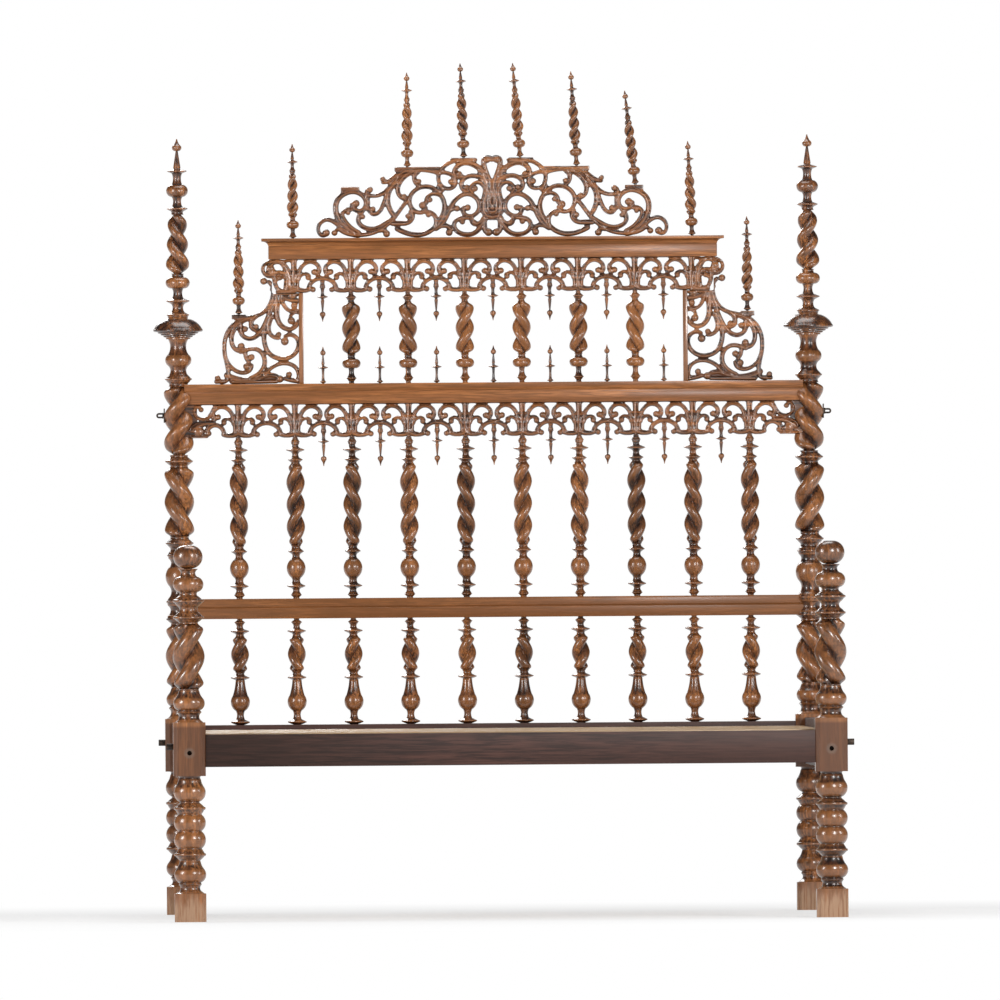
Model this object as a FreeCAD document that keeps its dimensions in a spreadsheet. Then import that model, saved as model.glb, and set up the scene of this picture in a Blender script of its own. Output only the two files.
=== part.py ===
"""Portuguese-style spindle bed: rope-turned posts and spindles, pierced headboard, slatted base.

All sizes are real millimetres. X runs across the bed, +Y towards the head, +Z up. The origin is on the
floor, under the middle of the whole bed. Each separate piece of wood or iron is one named object.
"""
import FreeCAD
import Part
import Sketcher
import math
import os
import re
from collections import namedtuple

Vec = FreeCAD.Vector
doc = FreeCAD.newDocument("SpindleBed")

# ---------------------------------------------------------------- driving dimensions
SIZES = {
    # the plan of the bed: post centre to post centre
    "bed_length": 2000, "bed_width": 1509,
    # posts: square foot, turned leg, square block, then the turned shaft
    "foot_side": 74, "foot_rise": 67, "leg_rise": 343, "block_side": 76, "block_rise": 126,
    "block_chamfer": 10, "post_ball": 37.5, "post_disc": 33.5, "post_neck": 24,
    "rope_radius_foot": 37.5, "rope_radius_head": 35.5, "foot_post_rise": 416, "head_post_rise": 909,
    "foot_rope_turn": 76, "low_rope_turn": 70, "middle_rope_turn": 69, "top_rope_turn": 60,
    # post cap and pinnacle of the head posts
    "cap_radius": 59.5, "cap_rise": 49, "pinnacle_rise": 430, "pinnacle_rope": 29, "pinnacle_turn": 47,
    "pinnacle_pin": 8, "pinnacle_pin_depth": 25,
    # rails of the two ends
    "end_rail_rise": 76, "end_rail_thick": 60, "head_rail_drop": 16, "foot_rail_drop": 29, "tenon_length": 22,
    "tenon_thick": 18,
    "tenon_inset": 14,
    "middle_rail_rise": 48, "middle_rail_thick": 32, "middle_rail_level": 707,
    "main_rail_rise": 48, "main_rail_thick": 44, "main_rail_level": 1221, "bead_depth": 2.5,
    "bead_width": 5, "nosing_rise": 13, "rail_end_to_axis": 14,
    # pierced boards
    "fret_thick": 20, "pattern_square": 1.056, "fret_drop": 81,
    "upper_fret_level": 1486, "fret_end_block": 44, "frieze_rise": 31, "frieze_length": 1074, "frieze_thick": 34,
    "cornice_rise": 19, "cornice_length": 1107, "cornice_thick": 66, "cornice_fillet": 7,
    "crest_thick": 20, "stile_width": 11, "stile_place": 460, "stile_thick": 22,
    # spindles
    "spindle_pitch": 136, "spindle_rope": 22, "spindle_turn": 49, "middle_turn": 53, "upper_turn": 47,
    "spindle_neck": 8.8,
    "dowel_radius": 5, "dowel_length": 12, "dowel_gap": 0.2,
    # finials and pendants
    "finial_rise": 226, "finial_pin_radius": 3, "finial_pin_length": 9, "rail_finial_rise": 88,
    "pendant_drop": 98, "cornice_finial_place": 478,
    # mattress base
    "side_rail_rise": 110, "side_rail_thick": 32, "side_rail_lift": 8, "ledger_rise": 26,
    "ledger_width": 34, "ledger_end_gap": 62, "slat_thick": 18, "slat_width": 90, "slat_count": 13,
    "slat_end_gap": 4, "slat_sink": 11,
    # iron bolts and nuts
    "bolt_radius": 4, "bolt_gap": 0.05, "bolt_head_radius": 7.5, "bolt_head_rise": 16, "bolt_into_rail": 62,
    "nut_side": 16, "nut_thick": 7, "nut_clear": 0.3, "nut_inset": 42, "bolt_hole_radius": 5.6,
    "sunk_head_depth": 26, "sunk_head_radius": 5.3, "sunk_head_rise": 9, "cross_bolt_lift": 69,
    "side_bolt_lift": 54, "ring_bolt_level": 1195, "plate_rise": 34, "plate_width": 18, "plate_thick": 3,
    "plate_seat": 33, "ring_shank": 3.5, "ring_bolt_bite": 22, "ring_radius": 6.5, "ring_wire": 2.2,
    "ring_reach": 11,
    # joiner's clearance round a tenon or a housed end
    "joint_gap": 0.25,
}
sheet = doc.addObject("Spreadsheet::Sheet", "Sizes")
for row, (alias, value) in enumerate(SIZES.items(), start=1):
    sheet.set("A%d" % row, alias)
    sheet.set("B%d" % row, str(value))
    sheet.setAlias("B%d" % row, alias)
doc.recompute()


def size(alias):
    """The value of one driving dimension, read from the sheet."""
    return float(sheet.get(alias))


def tie(expression):
    """An expression over the sheet's names, written out for the expression engine."""
    return re.sub(r"[a-z_]{3,}", lambda word: "Sizes." + word.group(), str(expression))


def parse(expression):
    """The present number behind an expression such as 'bed_width / 2'."""
    return float(sheet.evalExpression(tie(expression)))


def bind(thing, **expressions):
    """Ties properties of one object to the sheet: x, y and z stand for its place."""
    places = {"x": ".Placement.Base.x", "y": ".Placement.Base.y", "z": ".Placement.Base.z"}
    for name, expression in expressions.items():
        thing.setExpression(places.get(name, name), tie(expression))
    return thing


def body_plane(body, role):
    return [plane for plane in body.Origin.OriginFeatures if plane.Role == role][0]


def outline_sketch(body, name, role, points):
    """A closed outline of straight lines whose corners are tied to the sheet."""
    sketch = body.newObject("Sketcher::SketchObject", name)
    sketch.AttachmentSupport = [(body_plane(body, role), "")]
    sketch.MapMode = "FlatFace"
    corners = [Vec(parse(across), parse(up), 0) for across, up in points]
    for start, end in zip(corners, corners[1:] + corners[:1]):
        sketch.addGeometry(Part.LineSegment(start, end), False)
    for i, (across, up) in enumerate(points):
        sketch.addConstraint(Sketcher.Constraint("Coincident", i - 1 if i else len(points) - 1, 2, i, 1))
        tie_constraint(sketch, Sketcher.Constraint("DistanceX", -1, 1, i, 1, corners[i].x), across)
        tie_constraint(sketch, Sketcher.Constraint("DistanceY", -1, 1, i, 1, corners[i].y), up)
    return sketch


def tie_constraint(sketch, constraint, expression):
    index = sketch.addConstraint(constraint)
    sketch.setExpression("Constraints[%d]" % index, tie(expression))


def pad(body, sketch, length):
    """Pads an outline evenly to both sides of its plane."""
    feature = body.newObject("PartDesign::Pad", sketch.Name + "_pad")
    feature.Profile = sketch
    feature.Midplane = True
    feature.setExpression("Length", tie(length))
    sketch.Visibility = False
    return feature


def rectangle(width, low, high):
    return [("-(%s) / 2" % width, low), ("(%s) / 2" % width, low),
            ("(%s) / 2" % width, high), ("-(%s) / 2" % width, high)]


def board(name, role, outline, length, tenon_outline=None, tenon_length=None):
    """A straight piece of one section, with a tenon at both ends where an outline is given."""
    body = doc.addObject("PartDesign::Body", name)
    pad(body, outline_sketch(body, name + "_section", role, outline), length)
    if tenon_outline:
        pad(body, outline_sketch(body, name + "_tenon", role, tenon_outline), tenon_length)
    return body


TURNED = {"X": FreeCAD.Rotation(Vec(0, 1, 0), 90), "Y": FreeCAD.Rotation(Vec(1, 0, 0), -90),
          "Z": FreeCAD.Rotation()}


def rod(name, radius, length, x=0, y=0, z=0, along="Z"):
    """A cylinder from its place, along one axis."""
    cylinder = doc.addObject("Part::Cylinder", name)
    cylinder.Placement = FreeCAD.Placement(Vec(), TURNED[along])
    return bind(cylinder, Radius=radius, Height=length, x=x, y=y, z=z)


def block(name, spans):
    """A box between expressions: spans holds the low and high end along X, Y and Z."""
    box = doc.addObject("Part::Box", name)
    for side, place, (low, high) in zip(("Length", "Width", "Height"), "xyz", spans):
        bind(box, **{side: "(%s) - (%s)" % (high, low), place: low})
    return box


def gather(name, parts):
    """Several solids as one object."""
    joined = doc.addObject("Part::Compound", name + "_set")
    joined.Links = parts
    return joined


def cut_away(name, base, tools):
    """The base with every tool cut out of it."""
    cutter = tools[0]
    if len(tools) > 1:
        cutter = doc.addObject("Part::MultiFuse", name + "_cutters")
        cutter.Shapes = tools
    cut = doc.addObject("Part::Cut", name + "_cut")
    cut.Base, cut.Tool = base, cutter
    return cut


pieces = []


def finish(label, thing):
    """Marks one object as a finished piece of the bed."""
    thing.Label = label
    pieces.append(thing)
    return thing


def shaped(name, shape, **places):
    """An object with a shape of its own, set in its place by the sheet."""
    feature = doc.addObject("Part::Feature", name)
    feature.Shape = shape
    return bind(feature, **places)


# ---------------------------------------------------------------- turned work
# A turned piece is a stack of forms from the bottom up, each with its rise and its largest radius.
# Necks take up what the other forms leave of the height, each in its share.
Form = namedtuple("Form", "kind rise radius top_radius turn lobe taper", defaults=(0, 0, 0, 1.15))
EDGE_SHARE = 0.36       # how much of a disc's rise each of its sloping flanks takes
COLLAR_SHARE = 0.16     # how much of that rise the collar takes that a disc grows out of
COLLAR_REACH = 0.5      # how far out that collar stands, on the way from the neck to the rim
NECK_FLARE = 0.3        # how much wider a neck is at its ends than at its middle
SHOULDER_JOIN = 0.6     # how far out the belly of a vase meets its hollow shoulder
LOBE_SHARE = 0.6        # radius of one strand of a rope, as a share of the rope's radius
ROPE_ROOT = 0.95        # a rope starts just inside the waist that it grows from
SECTION_TURN = 20.0     # degrees from one section of a rope to the next


def neck(rise, radius):
    return Form("neck", rise, radius)


def ball(rise, radius):
    return Form("ball", rise, radius)


def disc(rise, radius):
    return Form("disc", rise, radius)


def cone(rise, radius):
    return Form("cone", rise, radius)


def vase(rise, radius, shoulder):
    """A round belly under a hollow shoulder that takes this share of the rise."""
    return Form("vase", rise, radius, shoulder)


def rope(rise, radius, turn, top_radius=None, lobe=None, taper=1.15):
    """Two strands: turn is the rise of a half turn, and they stand side by side at the height of the lobe."""
    top_radius = radius if top_radius is None else top_radius
    return Form("rope", rise, radius, top_radius, turn, rise / 2 if lobe is None else lobe, taper)


def waist(below, above, outer):
    """The radius where one form meets the next."""
    if below is not None and below.kind == "cone":
        return below.radius
    for form in (below, above):
        if form is not None and form.kind == "neck":
            return form.radius + min(NECK_FLARE * form.radius, 0.3 * form.rise)
    return outer


def spun(outline):
    """A solid turned about the Z axis from an outline that starts and ends on it."""
    face = Part.Face(Part.Wire(outline))
    return face.revolve(Vec(0, 0, 0), Vec(0, 0, 1), 360)


class Outline:
    """Half a section of turned work, drawn upwards in the XZ plane."""

    def __init__(self, level):
        self.at = Vec(0, 0, level)
        self.edges = []

    def line(self, radius, level):
        end = Vec(radius, 0, level)
        if (end - self.at).Length > 1e-6:
            self.edges.append(Part.LineSegment(self.at, end).toShape())
            self.at = end

    def arc(self, middle_radius, middle_level, radius, level):
        end = Vec(radius, 0, level)
        self.edges.append(Part.Arc(self.at, Vec(middle_radius, 0, middle_level), end).toShape())
        self.at = end

    def closed(self):
        self.line(0, self.at.z)
        start = self.edges[0].firstVertex().Point
        self.edges.append(Part.LineSegment(self.at, start).toShape())
        return spun(self.edges)


def rope_section(level, radius, angle):
    """Two round strands side by side, outline of arcs of under a half circle."""
    strand = LOBE_SHARE * radius
    offset = radius - strand
    spread = math.atan2(math.sqrt(strand ** 2 - offset ** 2), -offset)
    turn = FreeCAD.Rotation(Vec(0, 0, 1), angle)

    def point(side, around):
        flat = Vec(side * (offset + strand * math.cos(around)), side * strand * math.sin(around), 0)
        return turn.multVec(flat) + Vec(0, 0, level)

    edges = []
    for side in (1, -1):
        for low, high in ((-spread, 0), (0, spread)):
            arc = Part.Arc(point(side, low), point(side, (low + high) / 2), point(side, high))
            edges.append(arc.toShape())
    return Part.Wire(edges)


def rope_solid(level, form, end_radius, sense):
    """A rope of two strands that swells out of the waist below and sinks into the one above."""
    end_radius = end_radius * ROPE_ROOT
    count = max(8, int(math.ceil(form.rise / form.turn * 180.0 / SECTION_TURN)))
    swell = form.taper * (max(form.radius, form.top_radius) - end_radius)
    sections = []
    for i in range(count + 1):
        up = form.rise * i / count
        full = form.radius + (form.top_radius - form.radius) * i / count
        near = min(1.0, min(up, form.rise - up) / swell)
        radius = end_radius + (full - end_radius) * math.sin(near * math.pi / 2)
        sections.append(rope_section(level + up, radius, sense * 180.0 * (up - form.lobe) / form.turn))
    return Part.makeLoft(sections, True, False)


def turned(stack, bottom, top, sense=1, end_radius=1.0, start_radius=None):
    """The solid of a whole stack between two levels. Its ropes wind by turns one way and the other."""
    fixed = sum(form.rise for form in stack if form.kind != "neck")
    loose = sum(form.rise for form in stack if form.kind == "neck")
    share = (top - bottom - fixed) / loose
    if share <= 0:
        raise ValueError("the turned forms are taller than the room they have")
    solids = []
    level = bottom
    outline = Outline(level)
    for i, form in enumerate(stack):
        below = stack[i - 1] if i else None
        above = stack[i + 1] if i + 1 < len(stack) else None
        low_waist = waist(below, form, end_radius if i or start_radius is None else start_radius)
        high_waist = waist(form, above, end_radius)
        rise = form.rise * (share if form.kind == "neck" else 1)
        if form.kind == "rope":
            solids.append(outline.closed())
            solids.append(rope_solid(level, form, low_waist, sense))
            sense = -sense
            level += rise
            outline = Outline(level)
            continue
        outline.line(low_waist, level)
        if form.kind == "ball":
            outline.arc(form.radius, level + rise / 2, high_waist, level + rise)
        elif form.kind == "disc":
            edge = form.radius - rise * (1 - 2 * EDGE_SHARE) / 2
            outline.line(low_waist + COLLAR_REACH * (edge - low_waist), level + rise * COLLAR_SHARE)
            outline.line(edge, level + rise * EDGE_SHARE)
            outline.arc(form.radius, level + rise / 2, edge, level + rise * (1 - EDGE_SHARE))
            outline.line(high_waist + COLLAR_REACH * (edge - high_waist), level + rise * (1 - COLLAR_SHARE))
            outline.line(high_waist, level + rise)
        elif form.kind == "vase":
            belly = rise * (1 - form.top_radius)
            join = high_waist + (form.radius - high_waist) * SHOULDER_JOIN
            outline.arc(form.radius, level + belly * 0.52, join, level + belly)
            hollow = high_waist + (join - high_waist) * 0.32
            outline.arc(hollow, level + (belly + rise) / 2, high_waist, level + rise)
        elif form.kind == "neck":
            outline.arc(form.radius, level + rise / 2, high_waist, level + rise)
        else:
            outline.line(form.radius, level + rise)
        level += rise
    solids.append(outline.closed())
    return fused(solids)


def fused(shapes):
    """One solid out of several that touch or overlap."""
    whole = shapes[0] if len(shapes) == 1 else shapes[0].multiFuse(shapes[1:])
    if len(whole.Solids) != 1:
        raise ValueError("a fused piece came out as %d solids" % len(whole.Solids))
    return whole.Solids[0]


def column(side, chamfer, low, high):
    """A square column with its upright edges cut off."""
    half = side / 2
    corners = []
    for across, along in ((1, 1), (-1, 1), (-1, -1), (1, -1)):
        flat = Vec(across * half, along * (half - chamfer), low)
        deep = Vec(across * (half - chamfer), along * half, low)
        corners += [flat, deep] if across * along > 0 else [deep, flat]
    outline = Part.makePolygon(corners + corners[:1])
    return Part.Face(outline).extrude(Vec(0, 0, high - low))


def pin(radius, low, high):
    return Part.makeCylinder(radius, high - low, Vec(0, 0, low))


def leg_stack():
    widest, thin = size("post_ball"), size("post_neck")
    return [cone(5, thin + 3), neck(11, thin - 1), disc(4, thin + 3), neck(1, thin + 1), vase(50, widest, 0.35),
            neck(2, thin), disc(26, widest), neck(1.5, thin + 4), ball(39, widest), neck(1.5, thin + 4),
            ball(37.5, widest), neck(1.5, thin + 4), disc(26, widest), neck(2, thin - 1),
            vase(52, widest, 0.32), neck(6, thin + 1)]


def foot_shaft_stack():
    widest, thin = size("post_ball"), size("post_neck")
    return [cone(6, thin + 3), neck(17, thin), disc(4, thin + 5), neck(1, thin + 2),
            vase(46, widest - 0.5, 0.36), neck(4, thin - 1), rope(153, size("rope_radius_foot"), size("foot_rope_turn")),
            neck(4, thin - 2), disc(22, widest - 1), neck(15, thin - 3), disc(24, widest - 1),
            neck(9, thin - 4), ball(36, widest - 1.5), neck(16, thin - 7), disc(3, thin - 1),
            ball(54, widest - 3)]


def head_shaft_stack():
    thin, flange, thick = size("post_neck") - 3, size("post_disc"), size("rope_radius_head")
    return [cone(6, thin + 6), neck(18, thin + 3), disc(4, thin + 7), neck(1, thin + 4),
            vase(42, flange + 1, 0.34),
            neck(4, thin + 1), rope(147, thick, size("low_rope_turn")), neck(5, thin + 1),
            disc(18, flange), neck(22, thin + 2), disc(18, flange), neck(28, thin),
            ball(42, flange + 1), neck(20, thin), disc(16, flange - 3),
            neck(11, thin + 1), disc(18, flange), neck(7, thin + 1),
            rope(164, thick, size("middle_rope_turn")), neck(6, thin),
            disc(18, flange), neck(6, thin),
            rope(163, thick, size("top_rope_turn"), lobe=89), neck(9, thin + 1),
            disc(17, flange - 1), neck(22, thin - 2), ball(27, flange - 2), neck(34, thin - 2)]


def cap_shape():
    """A domed cap on a flight of small steps."""
    wide, rise = size("cap_radius"), size("cap_rise")
    outline = Outline(0)
    for radius, level in ((0.49, 0), (0.49, 0.06), (0.59, 0.11), (0.59, 0.15), (0.7, 0.2), (0.7, 0.24),
                          (0.81, 0.28), (0.82, 0.34), (0.96, 0.36)):
        outline.line(radius * wide, level * rise)
    outline.arc(wide, 0.43 * rise, 0.97 * wide, 0.5 * rise)
    outline.arc(0.76 * wide, 0.81 * rise, 0.4 * wide, rise)
    return outline.closed()


def pinnacle_stack():
    flange, thin = size("pinnacle_rope"), 0.4 * size("pinnacle_rope")
    return [neck(2, 2 * thin), disc(13, flange - 2), neck(19, thin + 1), disc(13, flange - 1),
            neck(22, thin - 1), ball(27, flange), neck(8, thin + 2), rope(141, flange, size("pinnacle_turn"), 0.76 * flange),
            neck(8, thin + 2), disc(11, flange - 4), neck(21, thin - 2), ball(30, flange - 3),
            neck(25, thin - 2), disc(10, flange - 5.5), neck(3, 8), cone(40, 2.6), vase(29, 11.4, 0.5)]


def lower_stack():
    thick, thin = size("spindle_rope"), size("spindle_neck")
    return [disc(13, thick + 0.6), neck(20, thin - 0.5), vase(73, thick + 0.8, 0.5), neck(1, thin + 2),
            disc(11, thick + 0.6), neck(8, thin + 1), rope(84, thick - 0.5, size("spindle_turn")),
            neck(8, thin + 0.6), disc(11, thick + 0.3), neck(11, thin - 1.4), disc(9, 0.59 * thick),
            neck(4, thin - 2.6)]


def middle_stack():
    thick, thin = size("spindle_rope"), size("spindle_neck")
    return [neck(4, thin - 1.6), disc(9.5, 0.59 * thick), neck(11, thin - 1), disc(11.5, thick),
            neck(15, thin + 0.4), ball(45, thick + 0.6), neck(12.5, thin - 0.1), disc(11, thick - 3.1),
            neck(9, thin + 1.4), rope(195, thick, size("middle_turn"), taper=1.5), neck(5, thin + 1.4),
            disc(10.5, thick - 4.3), neck(13, thin - 1.4), disc(11.5, thick), neck(9, thin - 1.4),
            disc(10, 0.5 * thick), neck(5, thin - 2.4)]


def upper_stack():
    thick, thin = size("spindle_rope"), size("spindle_neck")
    return [neck(6, thin - 3), disc(12, 0.55 * thick), neck(17, thin - 2.8), ball(22.5, thick),
            neck(10, thin - 0.5), rope(124, thick, size("upper_turn")), neck(7, thin - 1.6),
            disc(11, 0.58 * thick), neck(5, thin - 3.4)]


def finial_stack():
    return [disc(10, 9), neck(13, 4.6), ball(19, 15), neck(9, 5.6), rope(102, 14.9, 27, 10.8),
            neck(5, 5.2), disc(9, 7.6), neck(12, 3.6), disc(8, 12.6), neck(3, 3.4),
            cone(16, 1.6), vase(20, 7, 0.48)]


def rail_finial_stack():
    return [disc(8, 7.4), neck(20, 2.8), disc(7, 12), neck(4, 3), cone(20, 1.6), vase(21, 6.6, 0.48)]


def pendant_stack():
    """A pendant, the wrong way up: it is turned over where it hangs."""
    return [neck(10, 5), disc(7, 7), neck(12, 3.6), disc(8, 12.8), neck(4, 3.4), cone(26, 1.7),
            vase(24, 7, 0.5)]


# ---------------------------------------------------------------- pierced work
# The carver's pattern is drawn on squares, whose size is a driving dimension. A stroke is a name, the
# points of its middle line, its half widths at both ends and the ball that ends it, if there is one.
# Boards of repeated units count from the middle of a stem; depths are below the edge that they hang from.
FRET_HALF = (
    ("stem", ((0, -1), (0, -30), (0, -75)), (7.5, 4), None),
    ("big_scroll", ((7, -64), (8, -46), (12, -28), (22, -12), (37, -6), (51, -11), (58, -23), (53, -34)),
     (5, 5), (46, -29, 7)),
    ("small_scroll", ((11, -45), (18, -35), (27, -33), (35, -39)), (4.5, 4), (32, -42, 6)),
    ("foot", ((2, -66), (16, -71), (34, -69)), (7, 5), None),
)
FRET_ARCH = (
    ("arch", ((33, -67), (38, -55), (50, -46), (65, -43)), (5, 5.5), (43, -69, 6.5)),
)
WALL_END = (
    ("arch", ((33, -67), (37, -55), (47, -48), (58, -48), (68, -55), (72, -66)), (5, 6), (67, -66, 6.5)),
    ("bowl", ((52, -6), (58, -16), (66, -28), (80, -34), (93, -29), (99, -17), (95, -7), (87, -6)),
     (5, 3.5), (84, -12, 6)),
    ("leaf", ((58, -42), (76, -43), (92, -48), (104, -56)), (6, 9), (90, -62, 13)),
    ("low_edge", ((72, -72), (86, -74), (106, -74)), (5, 5), None),
)
CURL_END = (
    ("curl", ((6, -3), (37, -3), (57, -5), (69, -15), (70, -27), (62, -36), (46, -36)), (3, 5), (53, -21, 9)),
    ("inner_curl", ((32, -5), (22, -18), (15, -38), (13, -60)), (5, 5), None),
    ("drop", ((46, -34), (34, -29), (22, -34), (18, -50), (20, -70)), (5, 5), None),
    ("outer_drop", ((45, -36), (44, -50), (38, -66)), (5, 5), (38, -46, 4)),
    ("low_edge", ((0, -73), (18, -74), (37, -74)), (6, 5), None),
)
ARCH_UNDERSIDE = 48.5   # the middle of an arch's lower edge, in squares below the board's top
CURL_REACH = 76         # how far a curled end may stand out from its last stem
WING_PAD_PLACE = 141    # the middle of the wing's pad, outwards from the stile
# Half of the crest, from the middle line outwards to the left, above the cornice.
CREST_HALF = (
    ("end_loop", ((-378, 7), (-389, 7), (-395, 20), (-390, 34), (-375, 42), (-358, 36),
      (-344, 25), (-326, 12), (-304, 6)), (4, 6), (-377, 12, 8.5)),
    ("end_hook", ((-330, 14), (-344, 20), (-354, 18)), (5, 4), (-358, 12, 7)),
    ("left_spiral", ((-316, 10), (-338, 27), (-351, 47), (-355, 67), (-350, 87), (-335, 100),
      (-315, 105), (-296, 98), (-286, 82), (-290, 67), (-302, 61), (-314, 66), (-318, 76)), (7, 5),
      (-309, 78, 8.5)),
    ("left_inner_hook", ((-304, 12), (-323, 25), (-336, 42), (-340, 55), (-334, 63), (-319, 64)),
      (6, 4), (-327, 57, 5.5)),
    ("spine", ((-349, 22), (-326, 9), (-294, 7), (-266, 13), (-242, 27), (-222, 46), (-207, 66),
      (-192, 84)), (5, 5), None),
    ("spine_hook", ((-226, 42), (-251, 27), (-274, 20), (-293, 25), (-304, 38), (-302, 50),
      (-294, 60)), (6, 5), (-294, 48, 6)),
    ("spine_foot", ((-256, 17), (-244, 18)), (6, 5), (-240, 9, 8)),
    ("upper_curl", ((-283, 108), (-284, 99), (-272, 95), (-256, 97), (-242, 105), (-230, 118),
      (-216, 136)), (4, 6), (-277, 109, 7)),
    ("curl_drop", ((-285, 94), (-282, 82), (-285, 68)), (5, 6), None),
    ("arch", ((-247, 126), (-236, 128), (-220, 139), (-199, 151), (-174, 154), (-149, 153),
      (-120, 146)), (5, 6), (-248, 133, 6)),
    ("left_bowl", ((-236, 108), (-242, 89), (-249, 71), (-260, 56), (-272, 54), (-280, 63),
      (-287, 66)), (5, 5), (-271, 65, 6.5)),
    ("left_lens", ((-216, 124), (-232, 108), (-237, 88), (-233, 66), (-221, 48)), (6, 6), None),
    ("arch_hook", ((-176, 149), (-196, 140), (-210, 123), (-214, 106), (-209, 94), (-197, 88)),
      (6, 5), (-200, 93, 6.5)),
    ("middle_spiral", ((-216, 20), (-194, 10), (-169, 6), (-144, 13), (-125, 30), (-112, 52),
      (-108, 72), (-117, 96), (-135, 112), (-156, 115), (-175, 107), (-187, 89), (-185, 71),
      (-174, 59), (-159, 57), (-151, 67)), (6, 5), (-158, 73, 8.5)),
    ("middle_hook", ((-116, 95), (-126, 98), (-138, 98), (-147, 91), (-149, 78)), (5, 4.5), (-141, 85, 6)),
    ("middle_leaf", ((-152, 58), (-140, 56), (-129, 46), (-127, 34), (-128, 24)), (5, 6), (-145, 51, 6)),
    ("middle_bowl", ((-226, 32), (-204, 32), (-189, 35), (-181, 45), (-185, 59)), (6, 5), (-191, 49, 6.5)),
    ("arch_drop", ((-169, 148), (-176, 138), (-175, 127), (-165, 117)), (6, 4.5), (-166, 127, 6)),
    ("shoulder_loop", ((-38, 175), (-64, 175), (-88, 172), (-108, 161), (-120, 144), (-121, 128),
      (-113, 115), (-100, 110), (-88, 114), (-83, 126)), (5, 5), (-93, 126, 7)),
    ("shoulder_curl", ((-83, 124), (-88, 138), (-100, 145), (-116, 147)), (5, 5), None),
    ("shoulder_link", ((-114, 108), (-120, 116)), (7, 6), None),
    ("inner_arch", ((-18, 146), (-30, 157), (-46, 166), (-64, 168), (-79, 160), (-85, 149),
      (-81, 139), (-68, 138)), (7, 5), (-74, 144, 6)),
    ("shoulder_fill", ((-44, 172), (-76, 171)), (6, 4), None),
    ("centre_loop", ((-12, 124), (-24, 134), (-42, 139), (-58, 136), (-69, 124), (-68, 111),
      (-58, 105)), (6, 5), (-58, 113, 6.5)),
    ("centre_hook", ((-14, 100), (-20, 116), (-33, 124), (-45, 119), (-49, 109), (-44, 103)),
      (5, 4), (-39, 110, 7)),
    ("low_spiral", ((-128, 20), (-110, 37), (-99, 58), (-88, 79), (-73, 93), (-56, 98), (-40, 92),
      (-30, 77), (-31, 61), (-42, 50), (-56, 48), (-66, 57), (-65, 67)), (6, 5), (-56, 67, 7.5)),
    ("low_bud", ((-96, 62), (-86, 65)), (6, 5), (-80, 65, 7)),
    ("base_foot", ((-122, 24), (-104, 26), (-92, 18)), (6, 5), (-98, 11, 8)),
    ("base_bowl", ((-16, 40), (-26, 24), (-42, 9), (-61, 6), (-78, 12), (-87, 26), (-82, 38),
      (-70, 43), (-56, 44)), (6, 5), (-68, 35, 6.5)),
    ("base_hook", ((-20, 42), (-30, 31), (-39, 29), (-46, 44)), (6, 5), (-41, 33, 6.5)),
    ("stem_outer", ((0, 43), (-12, 46), (-20, 58), (-21, 74), (-16, 95), (-14, 112), (-22, 140),
      (-26, 152)), (5, 8), None),
    ("stem_inner", ((0, 55), (-9, 58), (-12, 75), (-8, 98), (-4, 118), (-8, 134), (-15, 152),
      (-19, 168)), (5, 6), (-11, 176, 8.5)),
    ("stem_top", ((-19, 168), (-16, 178), (0, 176)), (6, 6), None),
    ("stem_heart", ((0, 66), (-6, 80), (-2, 100), (0, 128)), (5, 5), None),
    ("stem_foot", ((-16, 44), (-18, 28), (-16, 14)), (6, 6), (-9, 11, 9)),
)
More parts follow.
